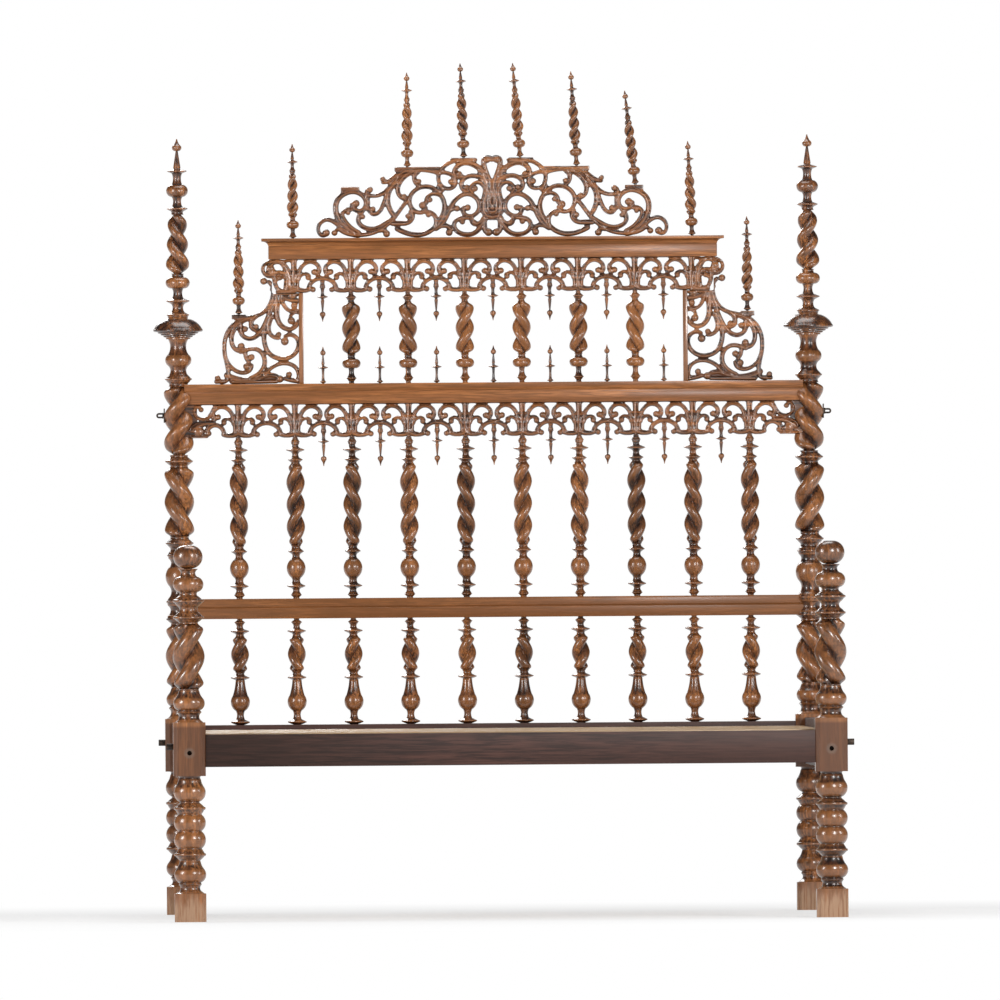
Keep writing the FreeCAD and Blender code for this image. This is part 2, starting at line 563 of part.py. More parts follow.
# The wing, from the middle line of its stile outwards to the left, above the main rail.
WING_PATTERN = (
    ("outer_curve", ((-182, 5), (-169, 10), (-166, 30), (-172, 60), (-174, 90), (-167, 117),
      (-152, 136), (-132, 147), (-107, 153), (-87, 161), (-73, 175), (-64, 198), (-63, 216),
      (-72, 231)), (5, 5), (-84, 233, 8)),
    ("base_ball", ((-193, 6), (-177, 7)), (5, 5), (-190, 14, 6.5)),
    ("inner_curve", ((-113, 149), (-134, 142), (-149, 128), (-157, 110), (-157, 93), (-150, 80),
      (-137, 75)), (6, 5), (-136, 86, 8)),
    ("top_drop", ((-103, 153), (-112, 142), (-113, 130), (-103, 122)), (6, 4.5), (-102, 130, 6.5)),
    ("top_bowl", ((-75, 150), (-87, 125), (-101, 109), (-117, 103), (-130, 108), (-138, 120),
      (-137, 134)), (6, 5), (-127, 125, 7)),
    ("main_spiral", ((-57, 206), (-65, 180), (-73, 155), (-81, 130), (-84, 105), (-80, 82),
      (-69, 66), (-52, 58), (-32, 58), (-15, 68), (-6, 85), (-9, 102), (-22, 111), (-35, 108)),
      (6, 5), (-37, 96, 9)),
    ("right_bowl", ((-53, 204), (-54, 180), (-55, 160), (-51, 141), (-40, 128), (-26, 124),
      (-13, 130), (-5, 143)), (7, 5), (-22, 143, 8.5)),
    ("right_bowl_tie", ((-24, 152), (-13, 162), (-1, 158)), (4, 4), None),
    ("side_hook", ((-67, 152), (-73, 133), (-72, 117), (-63, 107), (-51, 104)), (6, 4.5), (-51, 112, 6.5)),
    ("top_hook", ((-45, 206), (-42, 188), (-34, 172), (-21, 164), (-1, 168)), (5, 4.5), (-15, 177, 7.5)),
    ("rosette_tie", ((-43, 200), (-27, 192), (-1, 188)), (6, 6), (-19, 200, 10)),
    ("low_arch", ((-83, 22), (-66, 38), (-46, 46), (-27, 45), (-12, 36), (-6, 20), (-7, 5)),
      (5, 5), (-28, 21, 7)),
    ("low_arch_tie", ((-37, 12), (-21, 8), (-3, 6)), (5, 6), None),
    ("bottom_spine", ((-169, 20), (-147, 12), (-122, 9), (-97, 14), (-75, 20), (-57, 18)), (7, 5),
      (-49, 11, 8.5)),
    ("bottom_fill", ((-157, 6), (-97, 6), (-57, 6)), (6, 5), None),
    ("low_left_bowl", ((-173, 66), (-165, 46), (-151, 32), (-135, 26), (-120, 29), (-113, 42)),
      (5, 5), (-124, 40, 8)),
    ("middle_band", ((-137, 73), (-119, 79), (-102, 79), (-89, 70), (-83, 54), (-85, 38),
      (-96, 24), (-113, 14)), (5, 6), None),
    ("middle_hook", ((-125, 77), (-126, 62), (-119, 50)), (5, 4.5), (-113, 61, 7.5)),
    ("crown_tie", ((-63, 214), (-47, 212), (-1, 212)), (7, 6), None),
    ("crown", ((-59, 206), (-37, 206), (-1, 204)), (6, 6), None),
)
# Flat pads for the finials: low corner and high corner.
CREST_PADS = ((-343, 104, -301, 116), (-221, 150, -116, 160), (-94, 172, -38, 180))
WING_PADS = ((-157, 147, -125, 158),)
CREST_FINIAL_PLACES = (-325, -192, -64)   # from the middle of the crest, in squares
# Small bridges on the middle line, where the two halves of the crest only touch.
CREST_JOINS = ((0, 11, 4),)


def spot(point):
    return Vec(point[0] * square, 0, point[1] * square)


def ribbon(points, widths):
    """A flat band that follows a smooth line, of one arc a side between two points."""
    line = Part.BSplineCurve()
    line.interpolate([spot(point) for point in points])
    marks = [line.parameter(spot(point)) for point in points]
    sides = ([], [])
    for i in range(2 * len(marks) - 1):
        mark = marks[i // 2] if i % 2 == 0 else (marks[i // 2] + marks[i // 2 + 1]) / 2
        half = square * (widths[0] + (widths[1] - widths[0]) * i / (2 * len(marks) - 2))
        middle, along = line.value(mark), line.tangent(mark)[0]
        across = Vec(-along.z, 0, along.x).multiply(half)
        sides[0].append(middle + across)
        sides[1].append(middle - across)
        if i == 0:
            start_cap = middle - along.multiply(half)
    end_cap = middle + line.tangent(marks[-1])[0].multiply(half)
    left, right = sides[0], sides[1][::-1]
    edges = arcs(left) + [arc_edge(left[-1], end_cap, right[0])] + arcs(right)
    edges.append(arc_edge(right[-1], start_cap, left[0]))
    return Part.Face(Part.Wire(edges))


def arc_edge(start, middle, end):
    """An arc through three points, or a line where they lie in a row."""
    if (middle - start).cross(end - middle).Length < 1e-3 * (end - start).Length:
        return Part.LineSegment(start, end).toShape()
    return Part.Arc(start, middle, end).toShape()


def arcs(points):
    return [arc_edge(*points[i:i + 3]) for i in range(0, len(points) - 2, 2)]


def dot(place, radius):
    circle = Part.Circle(spot(place), Vec(0, 1, 0), radius * square)
    return Part.Face(Part.Wire(circle.toShape()))


def plate(low_x, low_z, high_x, high_z):
    """A rectangle in the plane of a pierced board, in real sizes."""
    corners = [Vec(low_x, 0, low_z), Vec(high_x, 0, low_z), Vec(high_x, 0, high_z), Vec(low_x, 0, high_z)]
    return Part.Face(Part.makePolygon(corners + corners[:1]))


def strokes(pattern):
    faces = []
    for name, points, widths, end_ball in pattern:
        face = ribbon(points, widths)
        if not face.isValid():
            raise ValueError("the stroke %s crosses itself" % name)
        faces.append(face)
        if end_ball:
            faces.append(dot(end_ball[:2], end_ball[2]))
    return faces


def pads(rows):
    return [plate(*[value * square for value in row]) for row in rows]


def flipped(shapes):
    """The mirror images, left for right."""
    return [shape.mirror(Vec(0, 0, 0), Vec(1, 0, 0)) for shape in shapes]


def moved(shapes, across):
    copies = []
    for shape in shapes:
        copy = shape.copy()
        copy.translate(Vec(across, 0, 0))
        copies.append(copy)
    return copies


def facing_back(face):
    return face if face.normalAt(0, 0).y > 0 else face.reversed()


def pierced(faces, thick, limits):
    """A board sawn from flat faces, joined and trimmed to limits, with its middle plane at y = 0."""
    alike = [facing_back(face) for face in faces]
    joined = Part.makeShell(alike[0].multiFuse(alike[1:]).Faces).removeSplitter()
    trimmed = joined.common(plate(*limits))
    if len(trimmed.Faces) != 1:
        raise ValueError("a pierced board falls apart into %d pieces" % len(trimmed.Faces))
    to_front = FreeCAD.Matrix()
    to_front.move(Vec(0, -thick / 2, 0))
    return trimmed.Faces[0].transformed(to_front, copy=True).extrude(Vec(0, thick, 0))


def fret_faces(stem_count, end_pattern, reach):
    """A hanging fret: stems at the pitch of the spindles, an arch between each two, and two ends."""
    pitch = size("spindle_pitch")
    half_unit = strokes(FRET_HALF)
    full_unit = half_unit + flipped(half_unit)
    arch = strokes(FRET_ARCH)
    faces = [plate(-reach, -2 * square, reach, 0)]
    for i in range(stem_count):
        place = pitch * (i - (stem_count - 1) / 2)
        faces += moved(full_unit, place)
        if i < stem_count - 1:
            faces += moved(arch, place) + moved(flipped(arch), place + pitch)
    last = pitch * (stem_count - 1) / 2
    end = strokes(end_pattern)
    return faces + moved(end, last) + moved(flipped(end), -last)


# ---------------------------------------------------------------- places worked out from the sheet
HEAD_Y = "((bed_length + block_side / 2 - cap_radius) / 2)"
FOOT_Y = "(%s - bed_length)" % HEAD_Y
MIDDLE_Y = "(%s - bed_length / 2)" % HEAD_Y
BLOCK_TOP = "(leg_rise + block_rise)"
HEAD_RAIL_TOP = "(%s - head_rail_drop)" % BLOCK_TOP
FOOT_RAIL_TOP = "(%s - foot_rail_drop)" % BLOCK_TOP
SIDE_RAIL_LOW = "(leg_rise + side_rail_lift)"
SIDE_RAIL_TOP = "(%s + side_rail_rise)" % SIDE_RAIL_LOW
MIDDLE_RAIL_TOP = "(middle_rail_level + middle_rail_rise)"
MAIN_RAIL_TOP = "(main_rail_level + main_rail_rise)"
MAIN_FRET_LOW = "(main_rail_level - fret_drop)"
FRIEZE_LOW = "(upper_fret_level + fret_drop)"
CORNICE_LOW = "(%s + frieze_rise)" % FRIEZE_LOW
CORNICE_TOP = "(%s + cornice_rise)" % CORNICE_LOW
CAP_LOW = "(%s + head_post_rise)" % BLOCK_TOP
CAP_TOP = "(%s + cap_rise)" % CAP_LOW
CROSS_BOLT_LEVEL = "(leg_rise + cross_bolt_lift)"
SIDE_BOLT_LEVEL = "(leg_rise + side_bolt_lift)"
SLAT_LOW = "(%s - slat_sink - slat_thick)" % HEAD_RAIL_TOP
BLOCK_FACE = "(block_side / 2)"
SHAFT_HOLE = "(bolt_radius + bolt_gap)"
PEG_RADIUS = "(dowel_radius + dowel_gap)"
PEG_DEPTH = "(dowel_length + dowel_gap)"
PIN_RADIUS = "(finial_pin_radius + dowel_gap)"
PIN_DEPTH = "(finial_pin_length + dowel_gap)"
SIDES = (("left", -1), ("right", 1))
ENDS = (("foot", FOOT_Y, -1), ("head", HEAD_Y, 1))
END_RAIL_TOPS = {FOOT_Y: FOOT_RAIL_TOP, HEAD_Y: HEAD_RAIL_TOP}


def rows(count):
    """Places at the pitch of the spindles, even about the middle of the bed."""
    return ["spindle_pitch * %g" % (i - (count - 1) / 2) for i in range(count)]


def span(one, other):
    """Two expressions, the lower one first."""
    return (one, other) if parse(one) <= parse(other) else (other, one)


def around(middle, width):
    return ("%s - (%s) / 2" % (middle, width), "%s + (%s) / 2" % (middle, width))


def bored(name, along, radius, fixed, start, end):
    """A round hole or shank along one axis, between two places on it."""
    low, high = span(start, end)
    places = dict(zip([axis for axis in "xyz" if axis != along.lower()], fixed))
    places[along.lower()] = low
    return rod(name, radius, "(%s) - (%s)" % (high, low), along=along, **places)


def holes(name, places, radius, depth, y, low):
    """Upright holes in a row, each from its low end up."""
    return [rod("%s_%d" % (name, i + 1), radius, depth, x, y, low) for i, x in enumerate(places)]


# ---------------------------------------------------------------- posts
def post_shape(stack, shaft_rise, sense):
    foot = column(size("foot_side"), size("block_chamfer"), 0, size("foot_rise"))
    flare = size("post_neck") + 10
    leg = turned(leg_stack(), size("foot_rise"), size("leg_rise"), 1, size("post_neck"), flare)
    base = size("leg_rise") + size("block_rise")
    square_block = column(size("block_side"), size("block_chamfer"), size("leg_rise"), base)
    shaft = turned(stack, base, base + shaft_rise, sense, 4, flare)
    return fused([foot, leg, square_block, shaft])


def post_cutters(name, side, y, outward):
    """Mortises and bolt holes that every post has."""
    x = "%d * bed_width / 2" % side
    inner_x = "%d * (bed_width / 2 - %s)" % (side, BLOCK_FACE)
    outer_x = "%d * (bed_width / 2 + %s + 1)" % (side, BLOCK_FACE)
    inner_y = "(%s - %d * %s)" % (y, outward, BLOCK_FACE)
    outer_y = "(%s + %d * %s)" % (y, outward, BLOCK_FACE)
    room = "tenon_thick + 2 * joint_gap"
    deep = "(tenon_length + joint_gap)"
    sunk = "(sunk_head_depth + sunk_head_rise)"
    rail_top = END_RAIL_TOPS[y]
    return [
        block(name + "_end_mortise", (
            span("%s - %d" % (inner_x, side), "%s + %d * %s" % (inner_x, side, deep)), around(y, room),
            ("%s - end_rail_rise + tenon_inset - joint_gap" % rail_top,
             "%s - tenon_inset + joint_gap" % rail_top))),
        block(name + "_side_mortise", (
            around(x, room), span("%s - %d" % (inner_y, outward), "%s + %d * %s" % (inner_y, outward, deep)),
            ("%s + tenon_inset - joint_gap" % SIDE_RAIL_LOW, "%s - tenon_inset + joint_gap" % SIDE_RAIL_TOP))),
        bored(name + "_cross_hole", "X", SHAFT_HOLE, (y, CROSS_BOLT_LEVEL), inner_x, outer_x),
        bored(name + "_side_hole", "Y", SHAFT_HOLE, (x, SIDE_BOLT_LEVEL), inner_y, outer_y),
        bored(name + "_sunk_hole", "Y", "bolt_hole_radius", (x, SIDE_BOLT_LEVEL),
              "%s - %d * %s" % (outer_y, outward, sunk), "%s + %d" % (outer_y, outward)),
    ]


def head_post_cutters(name, side):
    """Housings of the rails' ends, the ring bolt's hole and seat, and the socket of the pinnacle."""
    inside = "%d * (bed_width / 2 - block_side)" % side
    rail_end = "%d * (bed_width / 2 - rail_end_to_axis + joint_gap)" % side
    seat = "%d * (bed_width / 2 + plate_seat)" % side
    beyond = "%d * (bed_width / 2 + block_side)" % side
    housed = span(inside, rail_end)
    return [
        block(name + "_middle_housing", (
            housed, around(HEAD_Y, "middle_rail_thick + 2 * joint_gap"),
            ("middle_rail_level - joint_gap", "%s + joint_gap" % MIDDLE_RAIL_TOP))),
        block(name + "_main_housing", (
            housed, around(HEAD_Y, "main_rail_thick + 2 * joint_gap"),
            ("main_rail_level - joint_gap", "%s + joint_gap" % MAIN_RAIL_TOP))),
        block(name + "_fret_housing", (
            housed, around(HEAD_Y, "fret_thick + 2 * joint_gap"),
            ("%s - joint_gap" % MAIN_FRET_LOW, "main_rail_level"))),
        bored(name + "_ring_hole", "X", "ring_shank + bolt_gap", (HEAD_Y, "ring_bolt_level"), inside, beyond),
        block(name + "_plate_seat", (
            span(seat, beyond), around(HEAD_Y, "plate_width + 2 * joint_gap"),
            around("ring_bolt_level", "plate_rise + 2 * joint_gap"))),
        rod(name + "_pinnacle_socket", "pinnacle_pin + dowel_gap", "pinnacle_pin_depth + 1",
            "%d * bed_width / 2" % side, HEAD_Y, "%s - pinnacle_pin_depth" % CAP_LOW),
    ]


def make_posts():
    for label, side in SIDES:
        x = "%d * bed_width / 2" % side
        stack, rise = foot_shaft_stack(), size("foot_post_rise")
        turning = shaped("foot_turning_" + label, post_shape(stack, rise, -side), x=x, y=FOOT_Y)
        cutters = post_cutters("foot_%s" % label, side, FOOT_Y, -1)
        finish("foot_post_" + label, cut_away("foot_post_" + label, turning, cutters))
        stack, rise = head_shaft_stack(), size("head_post_rise")
        turning = shaped("head_turning_" + label, post_shape(stack, rise, -side), x=x, y=HEAD_Y)
        cutters = post_cutters("head_%s" % label, side, HEAD_Y, 1) + head_post_cutters("head_" + label, side)
        finish("head_post_" + label, cut_away("head_post_" + label, turning, cutters))
        cap = shaped("cap_turning_" + label, cap_shape(), x=x, y=HEAD_Y, z=CAP_LOW)
        bore = rod("cap_bore_" + label, "pinnacle_pin + dowel_gap", "cap_rise + 2", x, HEAD_Y, CAP_LOW + " - 1")
        finish("post_cap_" + label, cut_away("post_cap_" + label, cap, [bore]))
        low = -size("cap_rise") - size("pinnacle_pin_depth")
        shaft = turned(pinnacle_stack(), 0, size("pinnacle_rise"), side, 1.2)
        pinnacle = fused([shaft, pin(size("pinnacle_pin"), low, 0)])
        finish("pinnacle_" + label, shaped("pinnacle_" + label, pinnacle, x=x, y=HEAD_Y, z=CAP_TOP))


# ---------------------------------------------------------------- rails, boards and base
def end_rail(label, y):
    """A rail between two blocks, with its tenons, bolt holes and nut pockets."""
    top = END_RAIL_TOPS[y]
    low = "(%s - end_rail_rise)" % top
    outline = rectangle("end_rail_thick", low, top)
    tenon = rectangle("tenon_thick", "%s + tenon_inset" % low, "%s - tenon_inset" % top)
    body = board(label + "_board", "YZ_Plane", outline, "bed_width - block_side", tenon,
                 "bed_width - block_side + 2 * tenon_length")
    bind(body, y=y)
    cutters = []
    for name, side in SIDES:
        shoulder = "%d * (bed_width / 2 - %s)" % (side, BLOCK_FACE)
        nut_place = "(%s - %d * nut_inset)" % (shoulder, side)
        cutters.append(bored("%s_bolt_hole_%s" % (label, name), "X", SHAFT_HOLE, (y, CROSS_BOLT_LEVEL),
                             "%s - %d * (bolt_into_rail + 2)" % (shoulder, side),
                             "%s + %d * (tenon_length + 1)" % (shoulder, side)))
        inward = -1 if y == HEAD_Y else 1
        cutters.append(block("%s_nut_pocket_%s" % (label, name), (
            around(nut_place, "nut_thick + 2 * nut_clear"),
            span("%s - %d * (nut_side / 2 + nut_clear)" % (y, inward),
                 "%s + %d * (end_rail_thick / 2 + 1)" % (y, inward)),
            around(CROSS_BOLT_LEVEL, "nut_side + 2 * nut_clear"))))
    return body, cutters


def make_end_rails():
    body, cutters = end_rail("foot_rail", FOOT_Y)
    finish("foot_rail", cut_away("foot_rail", body, cutters))
    body, cutters = end_rail("head_bottom_rail", HEAD_Y)
    cutters += holes("lower_peg_hole", rows(10), PEG_RADIUS, "dowel_length + 2", HEAD_Y,
                     "%s - %s" % (HEAD_RAIL_TOP, PEG_DEPTH))
    finish("head_bottom_rail", cut_away("head_bottom_rail", body, cutters))


def moulded(thick, levels):
    """A symmetrical section: levels are (height, how far each face stands back from the full thickness)."""
    right = [("(%s) / 2 - (%s)" % (thick, back), level) for level, back in levels]
    left = [("-(%s) / 2 + (%s)" % (thick, back), level) for level, back in reversed(levels)]
    return right + left


def make_headboard_rails():
    low, high, middle = "middle_rail_level", MIDDLE_RAIL_TOP, "(middle_rail_level + middle_rail_rise * 0.56)"
    outline = moulded("middle_rail_thick", [
        (low, "0"), ("%s - bead_width / 2" % middle, "0"), (middle, "bead_depth"),
        ("%s + bead_width / 2" % middle, "0"), ("%s - bead_width" % high, "0"), (high, "bead_depth / 2")])
    rail_length = "bed_width - 2 * rail_end_to_axis"
    body = bind(board("middle_rail_board", "YZ_Plane", outline, rail_length), y=HEAD_Y)
    cutters = holes("lower_top_hole", rows(10), PEG_RADIUS, "dowel_length + 2", HEAD_Y, low + " - 2 + dowel_gap")
    cutters += holes("middle_peg_hole", rows(10), PEG_RADIUS, "dowel_length + 2", HEAD_Y,
                     "%s - %s" % (high, PEG_DEPTH))
    finish("head_middle_rail", cut_away("head_middle_rail", body, cutters))

    low, high = "main_rail_level", MAIN_RAIL_TOP
    nosing = "(%s - nosing_rise)" % high
    outline = moulded("main_rail_thick", [
        (low, "3 * bead_depth / 2"), ("%s + bead_width" % low, "3 * bead_depth / 2"),
        ("%s + bead_width" % low, "bead_depth"), ("%s - 2 * bead_width" % nosing, "bead_depth"),
        ("%s - 2 * bead_width" % nosing, "2 * bead_depth"), ("%s - bead_width" % nosing, "2 * bead_depth"),
        ("%s - bead_width" % nosing, "3 * bead_depth / 2"), (nosing, "0"), (high, "0")])
    body = bind(board("main_rail_board", "YZ_Plane", outline, rail_length), y=HEAD_Y)
    cutters = holes("upper_peg_hole", rows(6), PEG_RADIUS, "dowel_length + 2", HEAD_Y,
                    "%s - %s" % (high, PEG_DEPTH))
    cutters += holes("rail_finial_hole", rows(7), PIN_RADIUS, "finial_pin_length + 2", HEAD_Y,
                     "%s - %s" % (high, PIN_DEPTH))
    finish("head_main_rail", cut_away("head_main_rail", body, cutters))

    outline = rectangle("frieze_thick", FRIEZE_LOW, CORNICE_LOW)
    finish("frieze_board", bind(board("frieze", "YZ_Plane", outline, "frieze_length"), y=HEAD_Y))


COVE_STEPS = 5


def cornice_shape():
    """A cove that spreads from the frieze to the fillet along all four sides."""
    rise, fillet = size("cornice_rise"), size("cornice_fillet")
    spread_x = (size("cornice_length") - size("frieze_length")) / 2
    spread_y = (size("cornice_thick") - size("frieze_thick")) / 2
    sections = []
    for i in range(COVE_STEPS + 1):
        around_cove = math.radians(90.0 * i / COVE_STEPS)
        level = (rise - fillet) * math.sin(around_cove)
        out = 0.9 * (1 - math.cos(around_cove))
        half_x = size("frieze_length") / 2 + spread_x * out
        half_y = size("frieze_thick") / 2 + spread_y * out
        corners = [Vec(a * half_x, b * half_y, level) for a, b in ((1, 1), (-1, 1), (-1, -1), (1, -1))]
        sections.append(Part.makePolygon(corners + corners[:1]))
    cove = Part.makeLoft(sections, True, True)
    long, deep = size("cornice_length"), size("cornice_thick")
    top = Part.makeBox(long, deep, fillet, Vec(-long / 2, -deep / 2, rise - fillet))
    return fused([cove, top])


def make_cornice():
    cornice = shaped("cornice_run", cornice_shape(), y=HEAD_Y, z=CORNICE_LOW)
    places = ["%d * cornice_finial_place" % side for name, side in SIDES]
    cutters = holes("cornice_finial_hole", places, PIN_RADIUS, "finial_pin_length + 2", HEAD_Y,
                    "%s - %s" % (CORNICE_TOP, PIN_DEPTH))
    finish("cornice_moulding", cut_away("cornice_moulding", cornice, cutters))


def make_side_rails():
    for label, side in SIDES:
        x = "%d * bed_width / 2" % side
        outline = rectangle("side_rail_thick", SIDE_RAIL_LOW, SIDE_RAIL_TOP)
        tenon = rectangle("tenon_thick", "%s + tenon_inset" % SIDE_RAIL_LOW, "%s - tenon_inset" % SIDE_RAIL_TOP)
        body = board("side_board_" + label, "XZ_Plane", outline, "bed_length - block_side", tenon,
                     "bed_length - block_side + 2 * tenon_length")
        bind(body, x=x, y=MIDDLE_Y)
        cutters = []
        for name, y, outward in ENDS:
            shoulder = "(%s - %d * %s)" % (y, outward, BLOCK_FACE)
            cutters.append(bored("side_%s_%s_hole" % (label, name), "Y", SHAFT_HOLE, (x, SIDE_BOLT_LEVEL),
                                 "%s - %d * (bolt_into_rail + 2)" % (shoulder, outward),
                                 "%s + %d * (tenon_length + 1)" % (shoulder, outward)))
            cutters.append(block("side_%s_%s_pocket" % (label, name), (
                span("%s + %d * (nut_side / 2 + nut_clear)" % (x, side),
                     "%s - %d * (side_rail_thick / 2 + 1)" % (x, side)),
                around("(%s - %d * nut_inset)" % (shoulder, outward), "nut_thick + 2 * nut_clear"),
                around(SIDE_BOLT_LEVEL, "nut_side + 2 * nut_clear"))))
        finish("side_rail_" + label, cut_away("side_rail_" + label, body, cutters))
        face = "%d * (bed_width / 2 - side_rail_thick / 2)" % side
        finish("slat_ledger_" + label, block("ledger_" + label, (
            span(face, "%s - %d * ledger_width" % (face, side)),
            around(MIDDLE_Y, "bed_length - block_side - 2 * ledger_end_gap"),
            ("%s - ledger_rise" % SLAT_LOW, SLAT_LOW))))


def make_slats():
    """Loose slats at even spaces along the ledgers."""
    count = int(size("slat_count"))
    between = "((bed_length - block_side - 2 * ledger_end_gap - slat_width) / %d)" % (count - 1)
    slats = []
    for i in range(count):
        middle = "(%s + %s * %g)" % (MIDDLE_Y, between, i - (count - 1) / 2)
        slats.append(block("slat_%02d" % (i + 1), (
            around("0", "bed_width - side_rail_thick - 2 * slat_end_gap"), around(middle, "slat_width"),
            (SLAT_LOW, "%s + slat_thick" % SLAT_LOW))))
    finish("slats", gather("slats", slats))


# ---------------------------------------------------------------- pierced boards
def make_pierced_boards():
    thick, drop = size("fret_thick"), size("fret_drop")
    reach = size("bed_width") / 2 - size("rail_end_to_axis")
    wall = size("bed_width") / 2 - size("fret_end_block")
    ends = [plate(wall, -drop, reach, 0), plate(-reach, -drop, -wall, 0)]
    faces = fret_faces(10, WALL_END, reach) + ends
    fret = shaped("main_fret_board", pierced(faces, thick, (-reach, -drop, reach, 0)), y=HEAD_Y,
                  z="main_rail_level")
    cutters = holes("middle_top_hole", rows(10), PEG_RADIUS, "dowel_length + 2", HEAD_Y,
                    MAIN_FRET_LOW + " - 2 + dowel_gap")
    arch_low = "main_rail_level - %g * pattern_square" % ARCH_UNDERSIDE
    cutters += holes("main_pendant_hole", rows(9), PIN_RADIUS, "finial_pin_length + 2", HEAD_Y,
                     arch_low + " - 2 + dowel_gap")
    for label, side in SIDES:
        start = "%d * (bed_width / 2 - rail_end_to_axis + 1)" % side
        end = "%d * (bed_width / 2 - rail_end_to_axis - ring_bolt_bite - 1)" % side
        cutters.append(bored("ring_hole_" + label, "X", "ring_shank + bolt_gap", (HEAD_Y, "ring_bolt_level"),
                             start, end))
    finish("main_fret", cut_away("main_fret", fret, cutters))

    reach = 3.5 * size("spindle_pitch") + CURL_REACH * square
    faces = fret_faces(8, CURL_END, 3.5 * size("spindle_pitch") + 20)
    fret = shaped("upper_fret_board", pierced(faces, thick, (-reach, -drop, reach, 0)), y=HEAD_Y, z=FRIEZE_LOW)
    cutters = holes("upper_top_hole", rows(6), PEG_RADIUS, "dowel_length + 2", HEAD_Y,
                    "upper_fret_level - 2 + dowel_gap")
    arch_low = "%s - %g * pattern_square" % (FRIEZE_LOW, ARCH_UNDERSIDE)
    cutters += holes("upper_pendant_hole", rows(7), PIN_RADIUS, "finial_pin_length + 2", HEAD_Y,
                     arch_low + " - 2 + dowel_gap")
    finish("upper_fret", cut_away("upper_fret", fret, cutters))

    half = strokes(CREST_HALF) + pads(CREST_PADS)
    span_x = CREST_PADS[0][0] * square * 1.5
    both = half + flipped(half) + [dot(place[:2], place[2]) for place in CREST_JOINS]
    crest = pierced(both, size("crest_thick"), (span_x, 0, -span_x, 300 * square))
    board_object = shaped("crest_board", crest, y=HEAD_Y, z=CORNICE_TOP)
    cutters = []
    for i, (low_x, low_z, high_x, high_z) in enumerate(CREST_PADS):
        for label, side in SIDES:
            cutters.append(rod("crest_hole_%d_%s" % (i + 1, label), PIN_RADIUS, "finial_pin_length + 2",
                               "%d * %g * pattern_square" % (side, -CREST_FINIAL_PLACES[i]), HEAD_Y,
                               "%s + %g * pattern_square - %s" % (CORNICE_TOP, high_z, PIN_DEPTH)))
    finish("crest", cut_away("crest", board_object, cutters))

    top = size("upper_fret_level") - size("main_rail_level") - size("main_rail_rise")
    edge = -size("stile_width") / 2
    faces = strokes(WING_PATTERN) + pads(WING_PADS)
    left = pierced(faces, size("crest_thick"), (-300 * square, 0, edge, 300 * square))
    over = Part.makeBox(70 * square, 2 * size("crest_thick"), 300 * square,
                        Vec(-65 * square, -size("crest_thick"), top))
    left = left.cut(over)
    for label, side in SIDES:
        shape = left if side < 0 else left.mirror(Vec(0, 0, 0), Vec(1, 0, 0))
        wing = shaped("wing_board_" + label, shape, x="%d * stile_place" % side, y=HEAD_Y, z=MAIN_RAIL_TOP)
        hole = rod("wing_hole_" + label, PIN_RADIUS, "finial_pin_length + 2",
                   "%d * (stile_place + %g * pattern_square)" % (side, WING_PAD_PLACE), HEAD_Y,
                   "%s + %g * pattern_square - %s" % (MAIN_RAIL_TOP, WING_PADS[0][3], PIN_DEPTH))
        finish("wing_" + label, cut_away("wing_" + label, wing, [hole]))
        finish("wing_stile_" + label, block("stile_" + label, (
            around("%d * stile_place" % side, "stile_width"), around(HEAD_Y, "stile_thick"),
            (MAIN_RAIL_TOP, "upper_fret_level"))))


# ---------------------------------------------------------------- spindles, finials and pendants
def spindle(stack, low, high, sense):
    bottom, top = parse(low), parse(high)
    radius, length = size("dowel_radius"), size("dowel_length")
    shaft = turned(stack, 0, top - bottom, sense, size("spindle_neck"))
    pegs = [pin(radius, -length, 0), pin(radius, top - bottom, top - bottom + length)]
    return fused([shaft] + pegs)


def make_spindles():
    tiers = (("lower", lower_stack(), HEAD_RAIL_TOP, "middle_rail_level", 10, 1),
             ("middle", middle_stack(), MIDDLE_RAIL_TOP, MAIN_FRET_LOW, 10, -1))
    for tier, stack, low, high, count, first in tiers:
        made = {sense: spindle(stack, low, high, sense) for sense in (1, -1)}
        for i, x in enumerate(rows(count)):
            sense = first if i % 2 == 0 else -first
            name = "%s_spindle_%02d" % (tier, i + 1)
            finish(name, shaped(name, made[sense], x=x, y=HEAD_Y, z=low))
    made = {sense: spindle(upper_stack(), MAIN_RAIL_TOP, "upper_fret_level", sense) for sense in (1, -1)}
    place_group("upper_spindles", [(made[1 if i % 2 == 0 else -1], x, MAIN_RAIL_TOP)
                                   for i, x in enumerate(rows(6))])


def finial(lean=0.0, sense=1):
    """A small finial on its pin. A leaning one stands on the edge of its base."""
    shaft = turned(finial_stack(), 0, size("finial_rise"), sense, 0.8)
    if lean:
        shaft.rotate(Vec(0, 0, 0), Vec(0, 1, 0), -lean)
        shaft.translate(Vec(0, 0, finial_stack()[0].radius * math.sin(math.radians(abs(lean)))))
    return fused([shaft, pin(size("finial_pin_radius"), -size("finial_pin_length"), 4)])


def place_group(label, rows_of_pieces):
    """One node of like pieces: each row has a shape and its place."""
    placed = [shaped("%s_%d" % (label, i + 1), shape, x=x, y=HEAD_Y, z=z)
              for i, (shape, x, z) in enumerate(rows_of_pieces)]
    finish(label, gather(label, placed))


